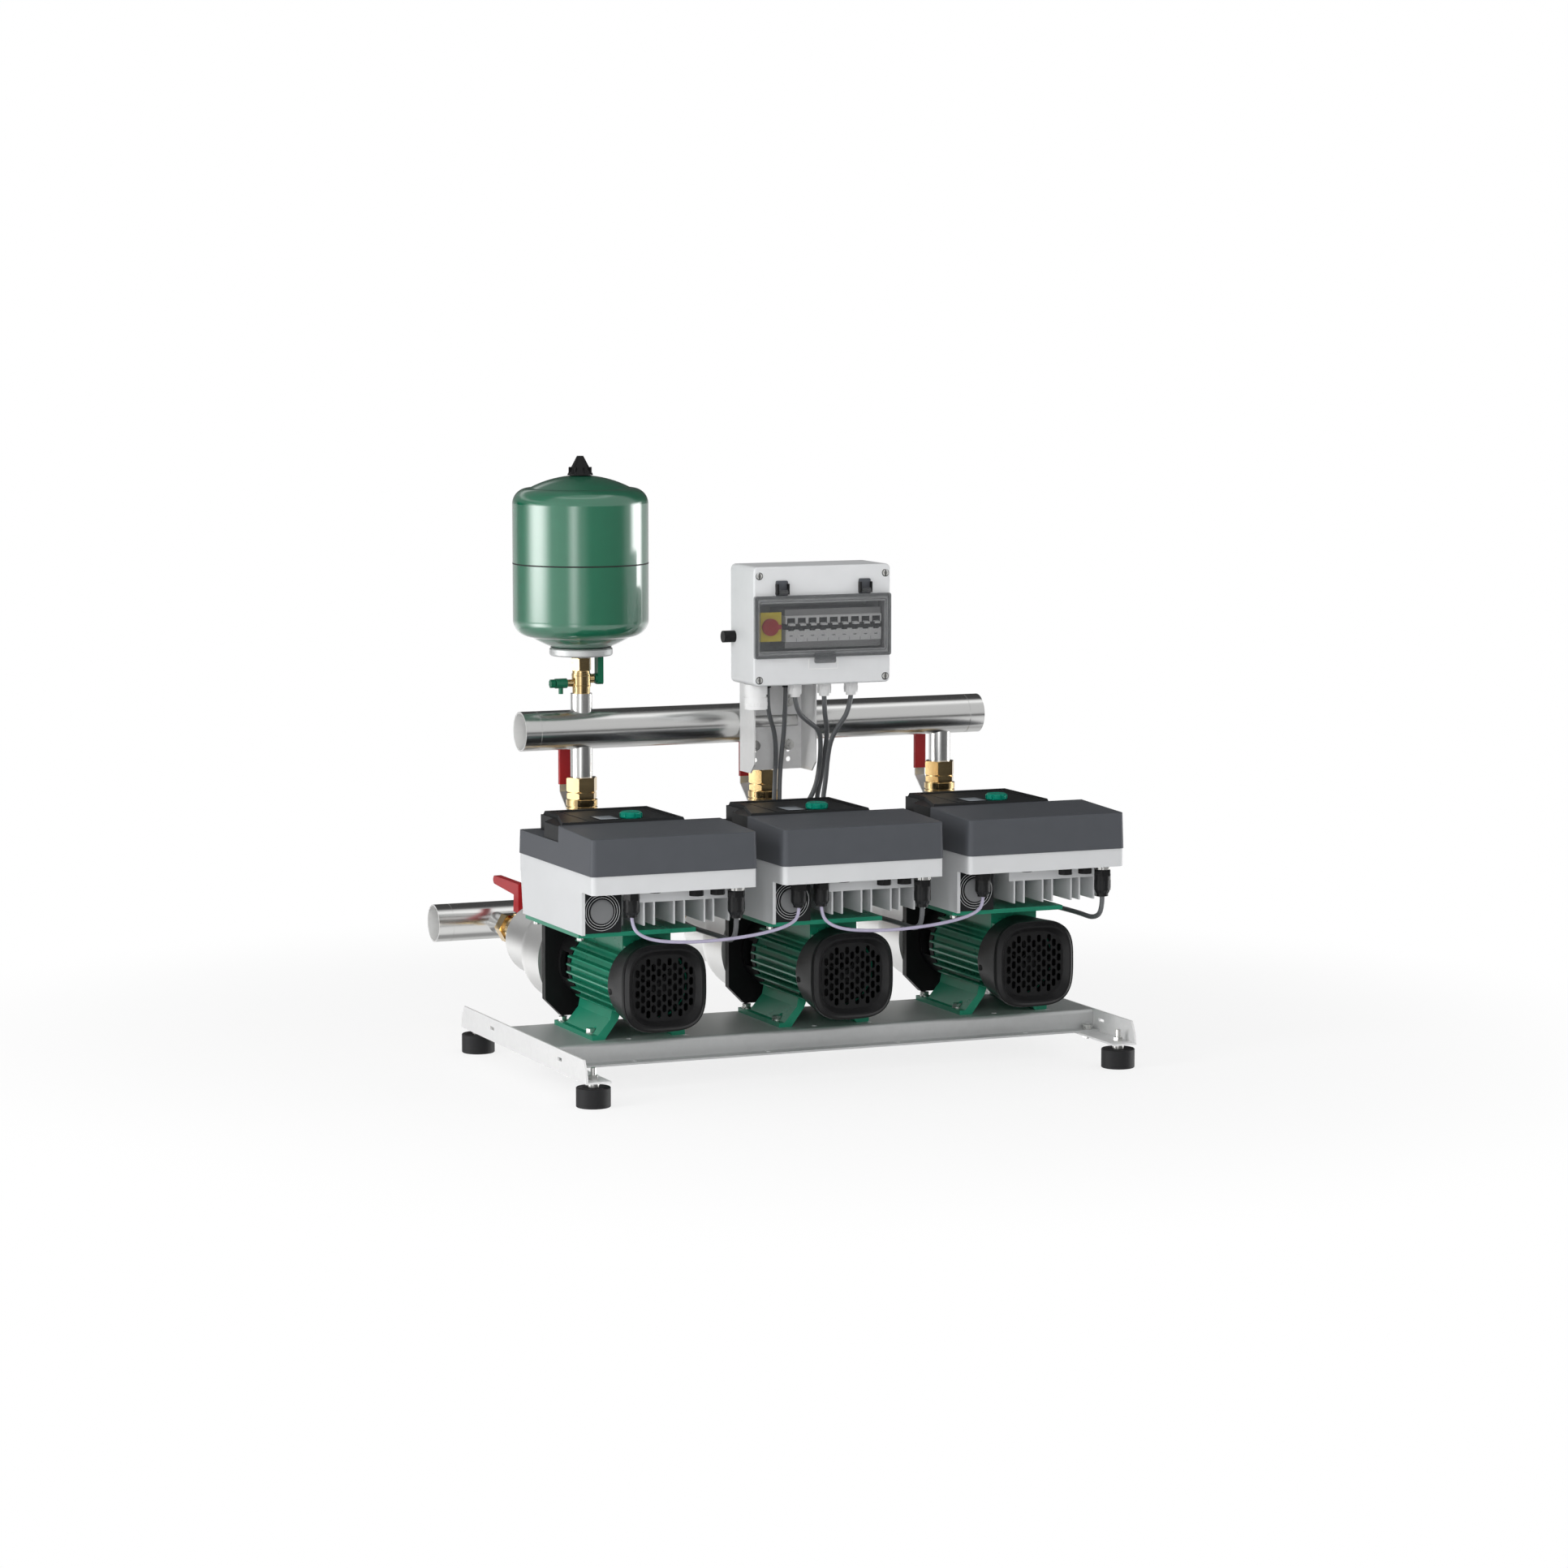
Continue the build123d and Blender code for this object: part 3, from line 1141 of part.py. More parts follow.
def lid_screws():
    """Slotted quarter-turn screws in the lid's corners."""
    screws = []
    for x in (BOX_LEFT + 8, BOX_RIGHT - 8):
        for z in (BOX_BOTTOM + 8, BOX_TOP - 12):
            head = rod_y(x, z, 3.4, BOX_FRONT - 0.8, BOX_FRONT)
            screws.append(head - block(x - 0.5, x + 0.5, BOX_FRONT - 1, BOX_FRONT - 0.4, z - 3, z + 3))
    return screws


def switch_plate():
    """Square plate behind the main switch, standing on the recess floor."""
    plate = block(SWITCH_X - 19, SWITCH_X + 19, BREAKER_FACE, BREAKER_FACE + 3,
                  SWITCH_Z - 22, SWITCH_Z + 22)
    post = block(SWITCH_X - 12, SWITCH_X + 12, BREAKER_FACE + 3, BOX_REAR - BOX_WALL,
                 SWITCH_Z - 15, SWITCH_Z + 15)
    return plate + post - rod_y(SWITCH_X, SWITCH_Z, 4 + RUN_GAP, BREAKER_FACE - 1, BREAKER_FACE + 14)


def main_switch():
    """Round rotary handle with its spindle."""
    front = BREAKER_FACE - FREE_GAP
    knob = rod_y(SWITCH_X, SWITCH_Z, SWITCH_R, front - 5, front)
    bar = block(SWITCH_X - SWITCH_R, SWITCH_X + SWITCH_R + 4, front - 5, front,
                SWITCH_Z - 3.2, SWITCH_Z + 3.2)
    return knob + bar + rod_y(SWITCH_X, SWITCH_Z, 4, front - 1, front + 12)


def breakers():
    """Row of single-module breakers on their rail, each with a slot for its toggle."""
    solids = []
    for i in range(BREAKER_COUNT):
        left = BREAKER_LEFT + i * BREAKER_W
        right = left + BREAKER_W
        body = block(left, right, BREAKER_FACE + 3, BREAKER_FACE + 62, BREAKER_BOTTOM - 10,
                     BREAKER_TOP + 10)
        body += block(left, right, BREAKER_FACE, BREAKER_FACE + 4, BREAKER_BOTTOM, BREAKER_TOP)
        pivot_z = toggle_height()
        room = rod_x(BREAKER_FACE + 5, pivot_z, TOGGLE_R + 0.3, left + 4, right - 4)
        body -= room
        solids.append(body)
    rail_z = (BREAKER_BOTTOM + BREAKER_TOP) / 2
    right = BREAKER_LEFT + BREAKER_COUNT * BREAKER_W
    rail = block(BREAKER_LEFT - 1, right + 1, BREAKER_FACE + 62, BOX_REAR - BOX_WALL,
                 rail_z - 17.5, rail_z + 17.5)
    return group([*solids, rail])


def toggle_height():
    return BREAKER_BOTTOM + 0.58 * (BREAKER_TOP - BREAKER_BOTTOM)


def breaker_toggles(index):
    """Three toggles tied together by a bar, on one pivot across their breakers."""
    y = BREAKER_FACE + 5
    z = toggle_height()
    parts = []
    first = BREAKER_LEFT + index * 3 * BREAKER_W
    for i in range(3):
        left = first + i * BREAKER_W
        drum = rod_x(y, z, TOGGLE_R, left + 4.3, left + BREAKER_W - 4.3)
        tab = block(left + 4.3, left + BREAKER_W - 4.3, BREAKER_FACE - 6, y, z + 1.0, z + 5.0)
        parts.append(drum + tab)
    bar = block(first + 5, first + 3 * BREAKER_W - 5, BREAKER_FACE - 6, BREAKER_FACE - 2.8,
                z + 1.5, z + 4.5)
    return parts[0] + parts[1] + parts[2] + bar


def control_window():
    """Smoked cover: a shallow tray with two hinge eyes above and a finger tab below."""
    tray = block(WINDOW_LEFT, WINDOW_RIGHT, BOX_FRONT - WINDOW_DEPTH, BOX_FRONT - FREE_GAP,
                 WINDOW_BOTTOM, WINDOW_TOP)
    tray = fillet(tray.edges().filter_by(Axis.Y), 3)
    tray -= block(WINDOW_LEFT + WINDOW_WALL, WINDOW_RIGHT - WINDOW_WALL, BOX_FRONT - WINDOW_DEPTH
                  + WINDOW_WALL, BOX_FRONT + 1, WINDOW_BOTTOM + WINDOW_WALL, WINDOW_TOP - WINDOW_WALL)
    middle = (WINDOW_LEFT + WINDOW_RIGHT) / 2
    tray += block(middle - 16, middle + 16, BOX_FRONT - WINDOW_DEPTH - 3, BOX_FRONT - WINDOW_DEPTH,
                  WINDOW_BOTTOM, WINDOW_BOTTOM + 8)
    for x in HINGE_XS:
        eye = rod_x(hinge_y(), HINGE_Z, HINGE_R + 2.5, x - 7, x + 7)
        eye += block(x - 7, x + 7, BOX_FRONT - WINDOW_DEPTH, hinge_y(), WINDOW_TOP - 4, HINGE_Z)
        tray += eye
    for x in HINGE_XS:
        tray -= rod_x(hinge_y(), HINGE_Z, HINGE_R + RUN_GAP, x - 8, x + 8)
    return tray


def hinge_y():
    return BOX_FRONT - HINGE_R - 3.2


def window_hinges():
    """Two hinge arms on the lid, each with the pin that the window's eye turns on."""
    solids = []
    for x in HINGE_XS:
        pin = rod_x(hinge_y(), HINGE_Z, HINGE_R, x - 10, x + 10)
        for side in (-1, 1):
            inner = x + side * 7.5
            outer = x + side * 10
            pin += block(min(inner, outer), max(inner, outer), hinge_y() - 2.5, BOX_FRONT,
                         HINGE_Z - 3, HINGE_Z + 13)
        pin += block(x - 10, x + 10, BOX_FRONT - 2.5, BOX_FRONT, HINGE_Z + 7, HINGE_Z + 13)
        solids.append(pin)
    return group(solids)


def bracket():
    """Folded channel that carries the control box on the discharge manifold."""
    web_rear = DISCHARGE_Y - PIPE_R
    web = block(-BRACKET_HALF, BRACKET_HALF, web_rear - BRACKET_T, web_rear, BRACKET_BOTTOM,
                BRACKET_TOP)
    for side in (-1, 1):
        inner = side * (BRACKET_HALF - BRACKET_T)
        outer = side * BRACKET_HALF
        web += block(min(inner, outer), max(inner, outer), BOX_REAR, web_rear, BRACKET_BOTTOM,
                     BRACKET_TOP)
        corner = Plane(origin=(-80, 0, 0), x_dir=(0, 1, 0), z_dir=(1, 0, 0))
        clip = [
            (BOX_REAR - 1, BRACKET_BOTTOM - 1),
            (BOX_REAR + 16, BRACKET_BOTTOM - 1),
            (BOX_REAR - 1, BRACKET_BOTTOM + 16),
        ]
        web -= extrude(corner * make_face(Polyline(*clip, close=True)), 160)
    strip = BOX_REAR + BRACKET_T
    back = block(-BRACKET_HALF, BRACKET_HALF, BOX_REAR, strip, BOX_BOTTOM + 20, BRACKET_TOP)
    web += back
    web -= block(-BRACKET_HALF + 8, BRACKET_HALF - 8, web_rear - 5, web_rear + 1,
                 BRACKET_SLOT_BOTTOM, BRACKET_SLOT_TOP)
    for x in U_BOLT_XS:
        for side in (-1, 1):
            z = DISCHARGE_Z + side * U_BOLT_SPREAD
            web -= rod_y(x, z, U_BOLT_R + 0.4, web_rear - 5, web_rear + 1)
        slot = Plane(origin=(x, web_rear + 1, BRACKET_BOTTOM + 32), x_dir=(1, 0, 0),
                     z_dir=(0, -1, 0))
        web -= extrude(slot * SlotOverall(12, 6, rotation=90), 5)
        web -= rod_y(x, BRACKET_BOTTOM + 15, 4.0, web_rear - 5, web_rear + 1)
    return web


# Glands and cables

def gland(x, y, top, end, radius, bore):
    """Cable gland hanging from a wall: hexagon, dome nut and a hole for the cable."""
    length = top - end
    body = hex_z(x, y, radius * 1.1, top - length * 0.35, top)
    body += rod_z(x, y, radius, end + length * 0.2, top - length * 0.3)
    body += rod_z(x, y, radius * 0.72, end, end + length * 0.25)
    return body - rod_z(x, y, bore, end - 1, end + length * 0.4)


def elbow_gland(x):
    """Elbow on the rear of the middle drive, its mouth upwards."""
    radius = SIGNAL_D / 2 + 1
    foot = rod_y(x, SIGNAL_GLAND_Z - 22, radius, DRIVE_REAR, SIGNAL_GLAND_Y)
    mouth = rod_z(x, SIGNAL_GLAND_Y, radius, SIGNAL_GLAND_Z - 22 - radius, SIGNAL_GLAND_Z)
    return foot + mouth


def black_glands():
    """Glands under the drives, with blanks in the spare holes, and those of the signal leads."""
    solids = []
    for i, x in enumerate(PUMPS):
        bus = [k for k in (0, 1) if (i, k) not in ((0, 0), (PUMP_COUNT - 1, 1))]
        for k, offset in enumerate(BUS_GLAND_XS):
            if k in bus:
                solids.append(gland(x + offset, DRIVE_GLAND_Y, TRAY_BOTTOM, BUS_GLAND_END,
                                    BUS_GLAND_R, BUS_D / 2))
        for offset, drop in zip(BLANK_XS, BLANK_DROPS):
            solids.append(nut_z(x + offset, DRIVE_GLAND_Y, BUS_GLAND_R, TRAY_BOTTOM - drop,
                                TRAY_BOTTOM))
        solids.append(gland(x + POWER_GLAND_X, DRIVE_GLAND_Y, TRAY_BOTTOM, POWER_GLAND_END,
                            POWER_GLAND_R, POWER_D / 2))
    for route in signal_routes():
        x, y, z = route[0]
        solids.append(rod_z(x, y, 5.5, z, BOX_BOTTOM))
        solids.append(elbow_gland(route[-1][0]))
    solids.append(rod_x(SIDE_GLAND_Y, SIDE_GLAND_Z, 9, BOX_LEFT - 19, BOX_LEFT))
    return group(solids)


def white_glands():
    """Glands under the control box: one large blank and three for the power cables."""
    blank = rod_z(BLANK_GLAND_X, GLAND_Y, 18, BOX_BOTTOM - 16, BOX_BOTTOM)
    blank += rod_z(BLANK_GLAND_X, GLAND_Y, 16.5, BOX_BOTTOM - 21, BOX_BOTTOM - 14)
    blank += rod_z(BLANK_GLAND_X, GLAND_Y, 18, BOX_BOTTOM - 38, BOX_BOTTOM - 20)
    solids = [blank]
    for x in BOX_GLAND_XS:
        solids.append(gland(x, GLAND_Y, BOX_BOTTOM, BOX_GLAND_END, 10.5, POWER_D / 2))
    return group(solids)


def power_routes():
    """Centre lines from the box's glands, down behind the middle drive, to each drive."""
    first = [
        (BOX_GLAND_XS[0], GLAND_Y, BOX_GLAND_END),
        (0, 252, 537),
        (22, 264, 520),
        (50, 280, 504),
        (61, 300, 474),
        (63, 312, 438),
        (60, 322, 405),
        (42, 333, 370),
        (10, 338, 338),
        (-36, 339, 312),
        (-92, 337, 297),
        (-145, 329, 282),
        (-180, 314, 257),
        (-193, 284, 234),
        (-194, 236, 225),
        (-194, 180, 223),
        (-193, 124, 224),
        (-192, 80, 224),
        (-191, 50, 223),
        (-190.8, 30, 236),
        (-190.8, DRIVE_GLAND_Y, POWER_GLAND_END),
    ]
    second = [
        (BOX_GLAND_XS[1], GLAND_Y, BOX_GLAND_END),
        (47, 254, 534),
        (58, 272, 514),
        (68, 293, 490),
        (70, 309, 458),
        (70, 320, 425),
        (66, 330, 390),
        (72, 335, 352),
        (88, 334, 310),
        (101, 326, 272),
        (106, 304, 242),
        (107, 262, 227),
        (107, 208, 223),
        (108, 152, 224),
        (109, 100, 224),
        (109, 54, 223),
        (109.2, 30, 236),
        (POWER_GLAND_X, DRIVE_GLAND_Y, POWER_GLAND_END),
    ]
    third = [
        (BOX_GLAND_XS[2], GLAND_Y, BOX_GLAND_END),
        (87, 253, 534),
        (77, 266, 512),
        (70, 283, 488),
        (71, 298, 456),
        (73, 309, 422),
        (72, 320, 386),
        (86, 324, 350),
        (118, 326, 318),
        (160, 328, 296),
        (214, 329, 286),
        (270, 330, 284),
        (326, 329, 282),
        (372, 322, 270),
        (398, 304, 247),
        (406, 268, 229),
        (407, 216, 223),
        (408, 160, 224),
        (409, 106, 224),
        (409, 58, 222),
        (409.2, 30, 236),
        (PUMPS[2] + POWER_GLAND_X, DRIVE_GLAND_Y, POWER_GLAND_END),
    ]
    return [first, second, third]


def signal_routes():
    """Centre lines of the two thin leads inside the bracket."""
    left = [
        (-38, 276, BOX_BOTTOM - 9),
        (-38, 276, 552),
        (-30, 288, 527),
        (-14, 306, 502),
        (-6, 318, 468),
        (-6, 323, 430),
        (-6, SIGNAL_GLAND_Y, 392),
        (-6, SIGNAL_GLAND_Y, SIGNAL_GLAND_Z),
    ]
    right = [
        (-8, 276, BOX_BOTTOM - 9),
        (-8, 276, 552),
        (-5, 287, 526),
        (1, 304, 501),
        (3, 318, 466),
        (2, 323, 428),
        (2.5, SIGNAL_GLAND_Y, 390),
        (2.5, SIGNAL_GLAND_Y, SIGNAL_GLAND_Z),
    ]
    return [left, right]


def bus_routes():
    """Centre lines of the two pale leads that hang between neighbouring drives."""
    routes = []
    for i in range(PUMP_COUNT - 1):
        x0 = PUMPS[i] + BUS_GLAND_XS[1]
        x1 = PUMPS[i + 1] + BUS_GLAND_XS[0]
        routes.append([
            (x0, DRIVE_GLAND_Y, BUS_GLAND_END),
            (x0 + 1, 29, 254),
            (x0 + 14, 26, 241),
            (x0 + 38, 24, 233),
            (x0 + 82, 22, 229),
            (x0 + 132, 22, 229),
            (x1 - 76, 23, 233),
            (x1 - 38, 25, 239),
            (x1 - 14, 27, 246),
            (x1 - 1, 29, 256),
            (x1, DRIVE_GLAND_Y, BUS_GLAND_END),
        ])
    return routes


def cord(points, diameter, name):
    """Round cable: straight runs joined by arcs as large as the shorter run allows."""
    corners = [Vector(*p) for p in points]
    runs = [b - a for a, b in zip(corners, corners[1:])]
    radii = []
    for before, after in zip(runs, runs[1:]):
        half_turn = math.radians(before.get_angle(after)) / 2
        radii.append(0.45 * min(before.length, after.length) / math.tan(half_turn))
    path = FilletPolyline(*corners, radius=radii)
    section = Plane(origin=corners[0], z_dir=runs[0]) * Circle(diameter / 2)
    solid = sweep(section, path=path)
    expected = math.pi * diameter ** 2 / 4 * path.length
    print(f"{name}: length {path.length:.0f}, least radius {min(radii):.1f}, "
          f"volume ratio {solid.volume / expected:.4f}")
    return solid


def build():
    os.makedirs("parts", exist_ok=True)
    save("base_channel", base_channel())
    save("cross_members", group([cross_member(-1), cross_member(1)]))
    save("rubber_feet", group([rubber_foot(x, y) for x in FOOT_XS for y in FOOT_YS]))
    save("fasteners", fasteners())
    save("pipe_clamps", pipe_clamps())
    for i, x in enumerate(PUMPS):
        n = i + 1
        save(f"motor_housing_{n}", motor_housing(x))
        save(f"pump_casing_{n}", pump_casing(x))
        save(f"pump_rotor_{n}", group([pump_rotor(x), cooling_fan(x)]))
        save(f"drive_base_{n}", drive_base(x))
        save(f"drive_cover_{n}", drive_cover(x))
        save(f"drive_knob_{n}", drive_knob(x))
        save(f"discharge_lever_{n}", discharge_lever(x))
        save(f"suction_lever_{n}", suction_lever(x))
        save(f"check_disc_{n}", check_disc(x))
    save("fan_cowls", group([fan_cowl(x) for x in PUMPS]))
    save("lanterns", group([lantern(x) for x in PUMPS]))
    save("drive_panels", group([drive_panel(x) for x in PUMPS] + [side_fan(x) for x in PUMPS]))
    save("valve_bodies", valve_bodies())
    save("discharge_manifold", discharge_manifold())
    save("suction_manifold", suction_manifold())
    save("vessel", vessel())
    save("vessel_flange", vessel_flange())
    save("vessel_valve", group([vessel_valve(), drain_body()]))
    save("vessel_lever", vessel_lever())
    save("drain_knob", drain_knob())
    save("control_box", control_box())
    save("main_switch", main_switch())
    save("breakers", breakers())
    for i in range(3):
        save(f"breaker_toggles_{i + 1}", breaker_toggles(i))
    save("control_window", control_window())
    save("bracket", bracket())
    save("black_fittings", group([black_glands(), vessel_cap(), window_hinges()]))
    save("white_glands", white_glands())
    for i, route in enumerate(power_routes()):
        save(f"power_cable_{i + 1}", cord(route, POWER_D, f"power_cable_{i + 1}"))
    for i, route in enumerate(signal_routes()):
        save(f"signal_cable_{i + 1}", cord(route, SIGNAL_D, f"signal_cable_{i + 1}"))
    for i, route in enumerate(bus_routes()):
        save(f"bus_cable_{i + 1}", cord(route, BUS_D, f"bus_cable_{i + 1}"))


build()
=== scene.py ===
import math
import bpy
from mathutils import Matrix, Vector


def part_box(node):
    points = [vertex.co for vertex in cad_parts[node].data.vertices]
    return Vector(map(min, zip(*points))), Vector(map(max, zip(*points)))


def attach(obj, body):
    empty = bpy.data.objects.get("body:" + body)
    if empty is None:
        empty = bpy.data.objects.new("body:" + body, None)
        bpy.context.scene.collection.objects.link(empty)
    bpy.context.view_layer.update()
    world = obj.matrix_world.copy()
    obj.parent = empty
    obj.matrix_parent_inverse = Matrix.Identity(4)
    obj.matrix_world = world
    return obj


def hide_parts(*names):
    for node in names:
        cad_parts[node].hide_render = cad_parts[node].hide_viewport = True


bl_info = {
    "name": "Booster pump set",
    "version": (1, 0, 0),
    "blender": (4, 5, 0),
    "location": "View3D > Sidebar > Pump set",
    "description": "Dresses the packed booster pump set with finishes, cables and small parts",
    "category": "Object",
}

import bmesh
import bpy
import numpy as np
from mathutils import Vector

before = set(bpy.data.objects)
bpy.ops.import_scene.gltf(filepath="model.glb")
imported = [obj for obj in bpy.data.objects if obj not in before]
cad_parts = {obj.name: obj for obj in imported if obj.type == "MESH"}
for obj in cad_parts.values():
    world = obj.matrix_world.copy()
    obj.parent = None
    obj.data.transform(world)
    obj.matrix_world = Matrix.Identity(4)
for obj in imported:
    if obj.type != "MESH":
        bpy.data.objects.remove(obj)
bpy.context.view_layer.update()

# Places are in millimetres: X from the middle pump, Y from the drives' front, Z from the floor.
# Only the grip's height is in the frame's metres.
MM = 0.001
PUMPS = (-300.0, 0.0, 300.0)
AXIS_Z = 161.0
DISCHARGE_Y = 382.9
DISCHARGE_Z = 509.0
SUCTION_Y = 800.0
SUCTION_Z = 161.0
PIPE_R = 30.15
BORE_R = 28.6
GLAND_Y = 30.0
POWER_GLAND_X = 109.2
FAN_X = -91.3
FAN_Z = 276.2
PANEL_Z = 396.5
KNOB = (1.0, 177.0)
COWL_SCREW_X = 66.3
CLAMP_SEAT_Y = DISCHARGE_Y - PIPE_R - 2.5
CLAMP_HALF_X = 28.0
CLAMP_HALF_Z = 33.45
BOX_GLAND_Y = 251.0
BOX_GLAND_XS = (-3.3, 45.0, 89.4)
LID_Y = 206.2
LID_SCREW_XS = (-80.5, 126.5)
LID_SCREW_ZS = (590.0, 747.0)
BREAKER_LEFT = -34.5
BREAKER_PITCH = 17.5
BREAKER_COUNT = 9
BREAKER_FACE_Z = (646.0, 685.5)
SWITCH_X = -60.5
SWITCH_Z = 669.5
SWITCH_HALF_X = 19.2
SWITCH_HALF_Z = 22.2
WINDOW = (21.5, 199.3, 670.0)
LATCH_X = 24.0
RECESS_X = (-81.2, 126.8)
RECESS_Y = (207.8, 262.0)
RECESS_Z = (632.0, 706.0)
FAN_REAR_Y = (88.8, 89.4)
GRIP_Z = (0.4165, 0.4175)
SHARP_ANGLE = math.radians(35.0)
WHITE = (1.0, 1.0, 1.0)
LAMP_AIM = Vector((0.0, 0.0, 0.4))
FLOOR_HALF = 9.0


def node_centre(node):
    """The middle of a CAD node's box at rest, in metres."""
    low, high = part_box(node)
    return (Vector(low) + Vector(high)) / 2


# Where the set's own zero lies in the frame, in metres.
ZERO = np.array((node_centre("fan_cowls").x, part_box("drive_base_2")[0][1], 0.0))


def metres(points):
    """Points in millimetres of the set's own places, moved into the frame in metres."""
    return np.asarray(points, dtype=float) * MM + ZERO


def spot(x, y, z):
    """One place of the set, in the frame."""
    return tuple(metres((x, y, z)))


POWER_ROUTES = (
    ((-3.3, 251, 559), (0, 252, 537), (22, 264, 520), (50, 280, 504), (61, 300, 474),
     (63, 312, 438), (60, 322, 405), (42, 333, 370), (10, 338, 338), (-36, 339, 312),
     (-92, 337, 297), (-145, 329, 282), (-180, 314, 257), (-193, 284, 234), (-194, 236, 225),
     (-194, 180, 223), (-193, 124, 224), (-192, 80, 224), (-191, 50, 223), (-190.8, 30, 236),
     (-190.8, 30, 260)),
    ((45, 251, 559), (47, 254, 534), (58, 272, 514), (68, 293, 490), (70, 309, 458),
     (70, 320, 425), (66, 330, 390), (72, 335, 352), (88, 334, 310), (101, 326, 272),
     (106, 304, 242), (107, 262, 227), (107, 208, 223), (108, 152, 224), (109, 100, 224),
     (109, 54, 223), (109.2, 30, 236), (109.2, 30, 260)),
    ((89.4, 251, 559), (87, 253, 534), (77, 266, 512), (70, 283, 488), (71, 298, 456),
     (73, 309, 422), (72, 320, 386), (86, 324, 350), (118, 326, 318), (160, 328, 296),
     (214, 329, 286), (270, 330, 284), (326, 329, 282), (372, 322, 270), (398, 304, 247),
     (406, 268, 229), (407, 216, 223), (408, 160, 224), (409, 106, 224), (409, 58, 222),
     (409.2, 30, 236), (409.2, 30, 260)),
)
SIGNAL_ROUTES = (
    ((-38, 276, 572), (-38, 276, 552), (-30, 288, 527), (-14, 306, 502), (-6, 318, 468),
     (-6, 323, 430), (-6, 326, 392), (-6, 326, 346)),
    ((-8, 276, 572), (-8, 276, 552), (-5, 287, 526), (1, 304, 501), (3, 318, 466),
     (2, 323, 428), (2.5, 326, 390), (2.5, 326, 346)),
)
BUS_ROUTES = tuple(
    ((x + 245, 30, 270), (x + 246, 29, 254), (x + 259, 26, 241), (x + 283, 24, 233),
     (x + 327, 22, 229), (x + 377, 22, 229), (x + 433, 23, 233), (x + 471, 25, 239),
     (x + 495, 27, 246), (x + 508, 29, 256), (x + 509, 30, 270))
    for x in (-600.0, -300.0)
)
POWER_LENGTHS = (811.0, 655.0, 876.0)
SIGNAL_LENGTHS = (242.0, 237.0)
BUS_LENGTHS = (303.0, 303.0)


class Wire:
    """A shader value that takes part in plain arithmetic; each step adds a Math node."""

    def __init__(self, finish, socket):
        self.finish = finish
        self.socket = socket

    def math(self, operation, *values):
        """A Math node of the given kind on this value and the others."""
        node = self.finish.node("ShaderNodeMath", {"operation": operation}, dict(enumerate(values)))
        return Wire(self.finish, node.outputs[0])

    def __add__(self, other):
        return self.math("ADD", self, other)

    def __radd__(self, other):
        return self.math("ADD", other, self)

    def __sub__(self, other):
        return self.math("SUBTRACT", self, other)

    def __rsub__(self, other):
        return self.math("SUBTRACT", other, self)

    def __mul__(self, other):
        return self.math("MULTIPLY", self, other)

    def __rmul__(self, other):
        return self.math("MULTIPLY", other, self)

    def __truediv__(self, other):
        return self.math("DIVIDE", self, other)

    def over(self, low, high):
        """0 below low, 1 above high and a smooth rise between them."""
        settings = {"interpolation_type": "SMOOTHSTEP"}
        node = self.finish.node("ShaderNodeMapRange", settings, {0: self, 1: low, 2: high})
        return Wire(self.finish, node.outputs[0])


class Nodes:
    """A node tree that is filled by one method."""

    def __init__(self, owner):
        owner.use_nodes = True
        self.tree = owner.node_tree
        self.tree.nodes.clear()

    def node(self, kind, settings, sockets):
        """Adds a node, sets its settings first and then its sockets' values or links."""
        node = self.tree.nodes.new(kind)
        for key, value in settings.items():
            setattr(node, key, value)
        for key, value in sockets.items():
            self.feed(node.inputs[key], value)
        return node

    def feed(self, socket, value):
        """Links a wire or an output to a socket, or sets a plain value."""
        if isinstance(value, Wire):
            value = value.socket
        if isinstance(value, bpy.types.NodeSocket):
            self.tree.links.new(value, socket)
        elif socket.type == "RGBA":
            socket.default_value = (*value[:3], 1.0)
        else:
            socket.default_value = value


class Finish(Nodes):
    """One material: a Principled shader whose inputs take numbers, colours or wires."""

    def __init__(self, name):
        self.material = bpy.data.materials.new(name)
        super().__init__(self.material)
        self.shader = self.node("ShaderNodeBsdfPrincipled", {}, {})
        self.out = self.node("ShaderNodeOutputMaterial", {}, {"Surface": self.shader.outputs[0]})
        self.place = self.node("ShaderNodeTexCoord", {}, {}).outputs["Object"]

    def set(self, **inputs):
        """Feeds the shader's inputs by name, with underscores for spaces; returns the material."""
        for key, value in inputs.items():
            self.feed(self.shader.inputs[key.replace("_", " ")], value)
        return self.material

    def stretched(self, scale):
        """Object coordinates with a scale of their own on each axis."""
        node = self.node("ShaderNodeMapping", {}, {"Vector": self.place, "Scale": scale})
        return node.outputs[0]

    def noise(self, scale, detail=3.0, stretch=None):
        """Soft noise from 0 to 1, at most so many features to the metre."""
        place = self.place if stretch is None else self.stretched(stretch)
        sockets = {"Vector": place, "Scale": scale, "Detail": detail}
        return Wire(self, self.node("ShaderNodeTexNoise", {}, sockets).outputs["Fac"])

    def axis(self, name):
        """One coordinate of the place, in metres."""
        node = self.node("ShaderNodeSeparateXYZ", {}, {0: self.place})
        return Wire(self, node.outputs[name])

    def mix(self, factor, first, second):
        """A colour between two colours."""
        settings = {"data_type": "RGBA"}
        node = self.node("ShaderNodeMix", settings, {0: factor, 6: first, 7: second})
        return node.outputs[2]

    def bump(self, height, distance):
        """A normal from a height map, distance in metres."""
        sockets = {"Height": height, "Distance": distance, "Strength": 1.0}
        return self.node("ShaderNodeBump", {}, sockets).outputs[0]


def between(value, low, high, soft):
    """1 between two bounds, with a smooth rise and fall of the given half width."""
    return value.over(low - soft, low + soft) * (1.0 - value.over(high - soft, high + soft))


def tinted(color, factor):
    """A colour made lighter or darker by a factor."""
    return tuple(min(1.0, c * factor) for c in color)


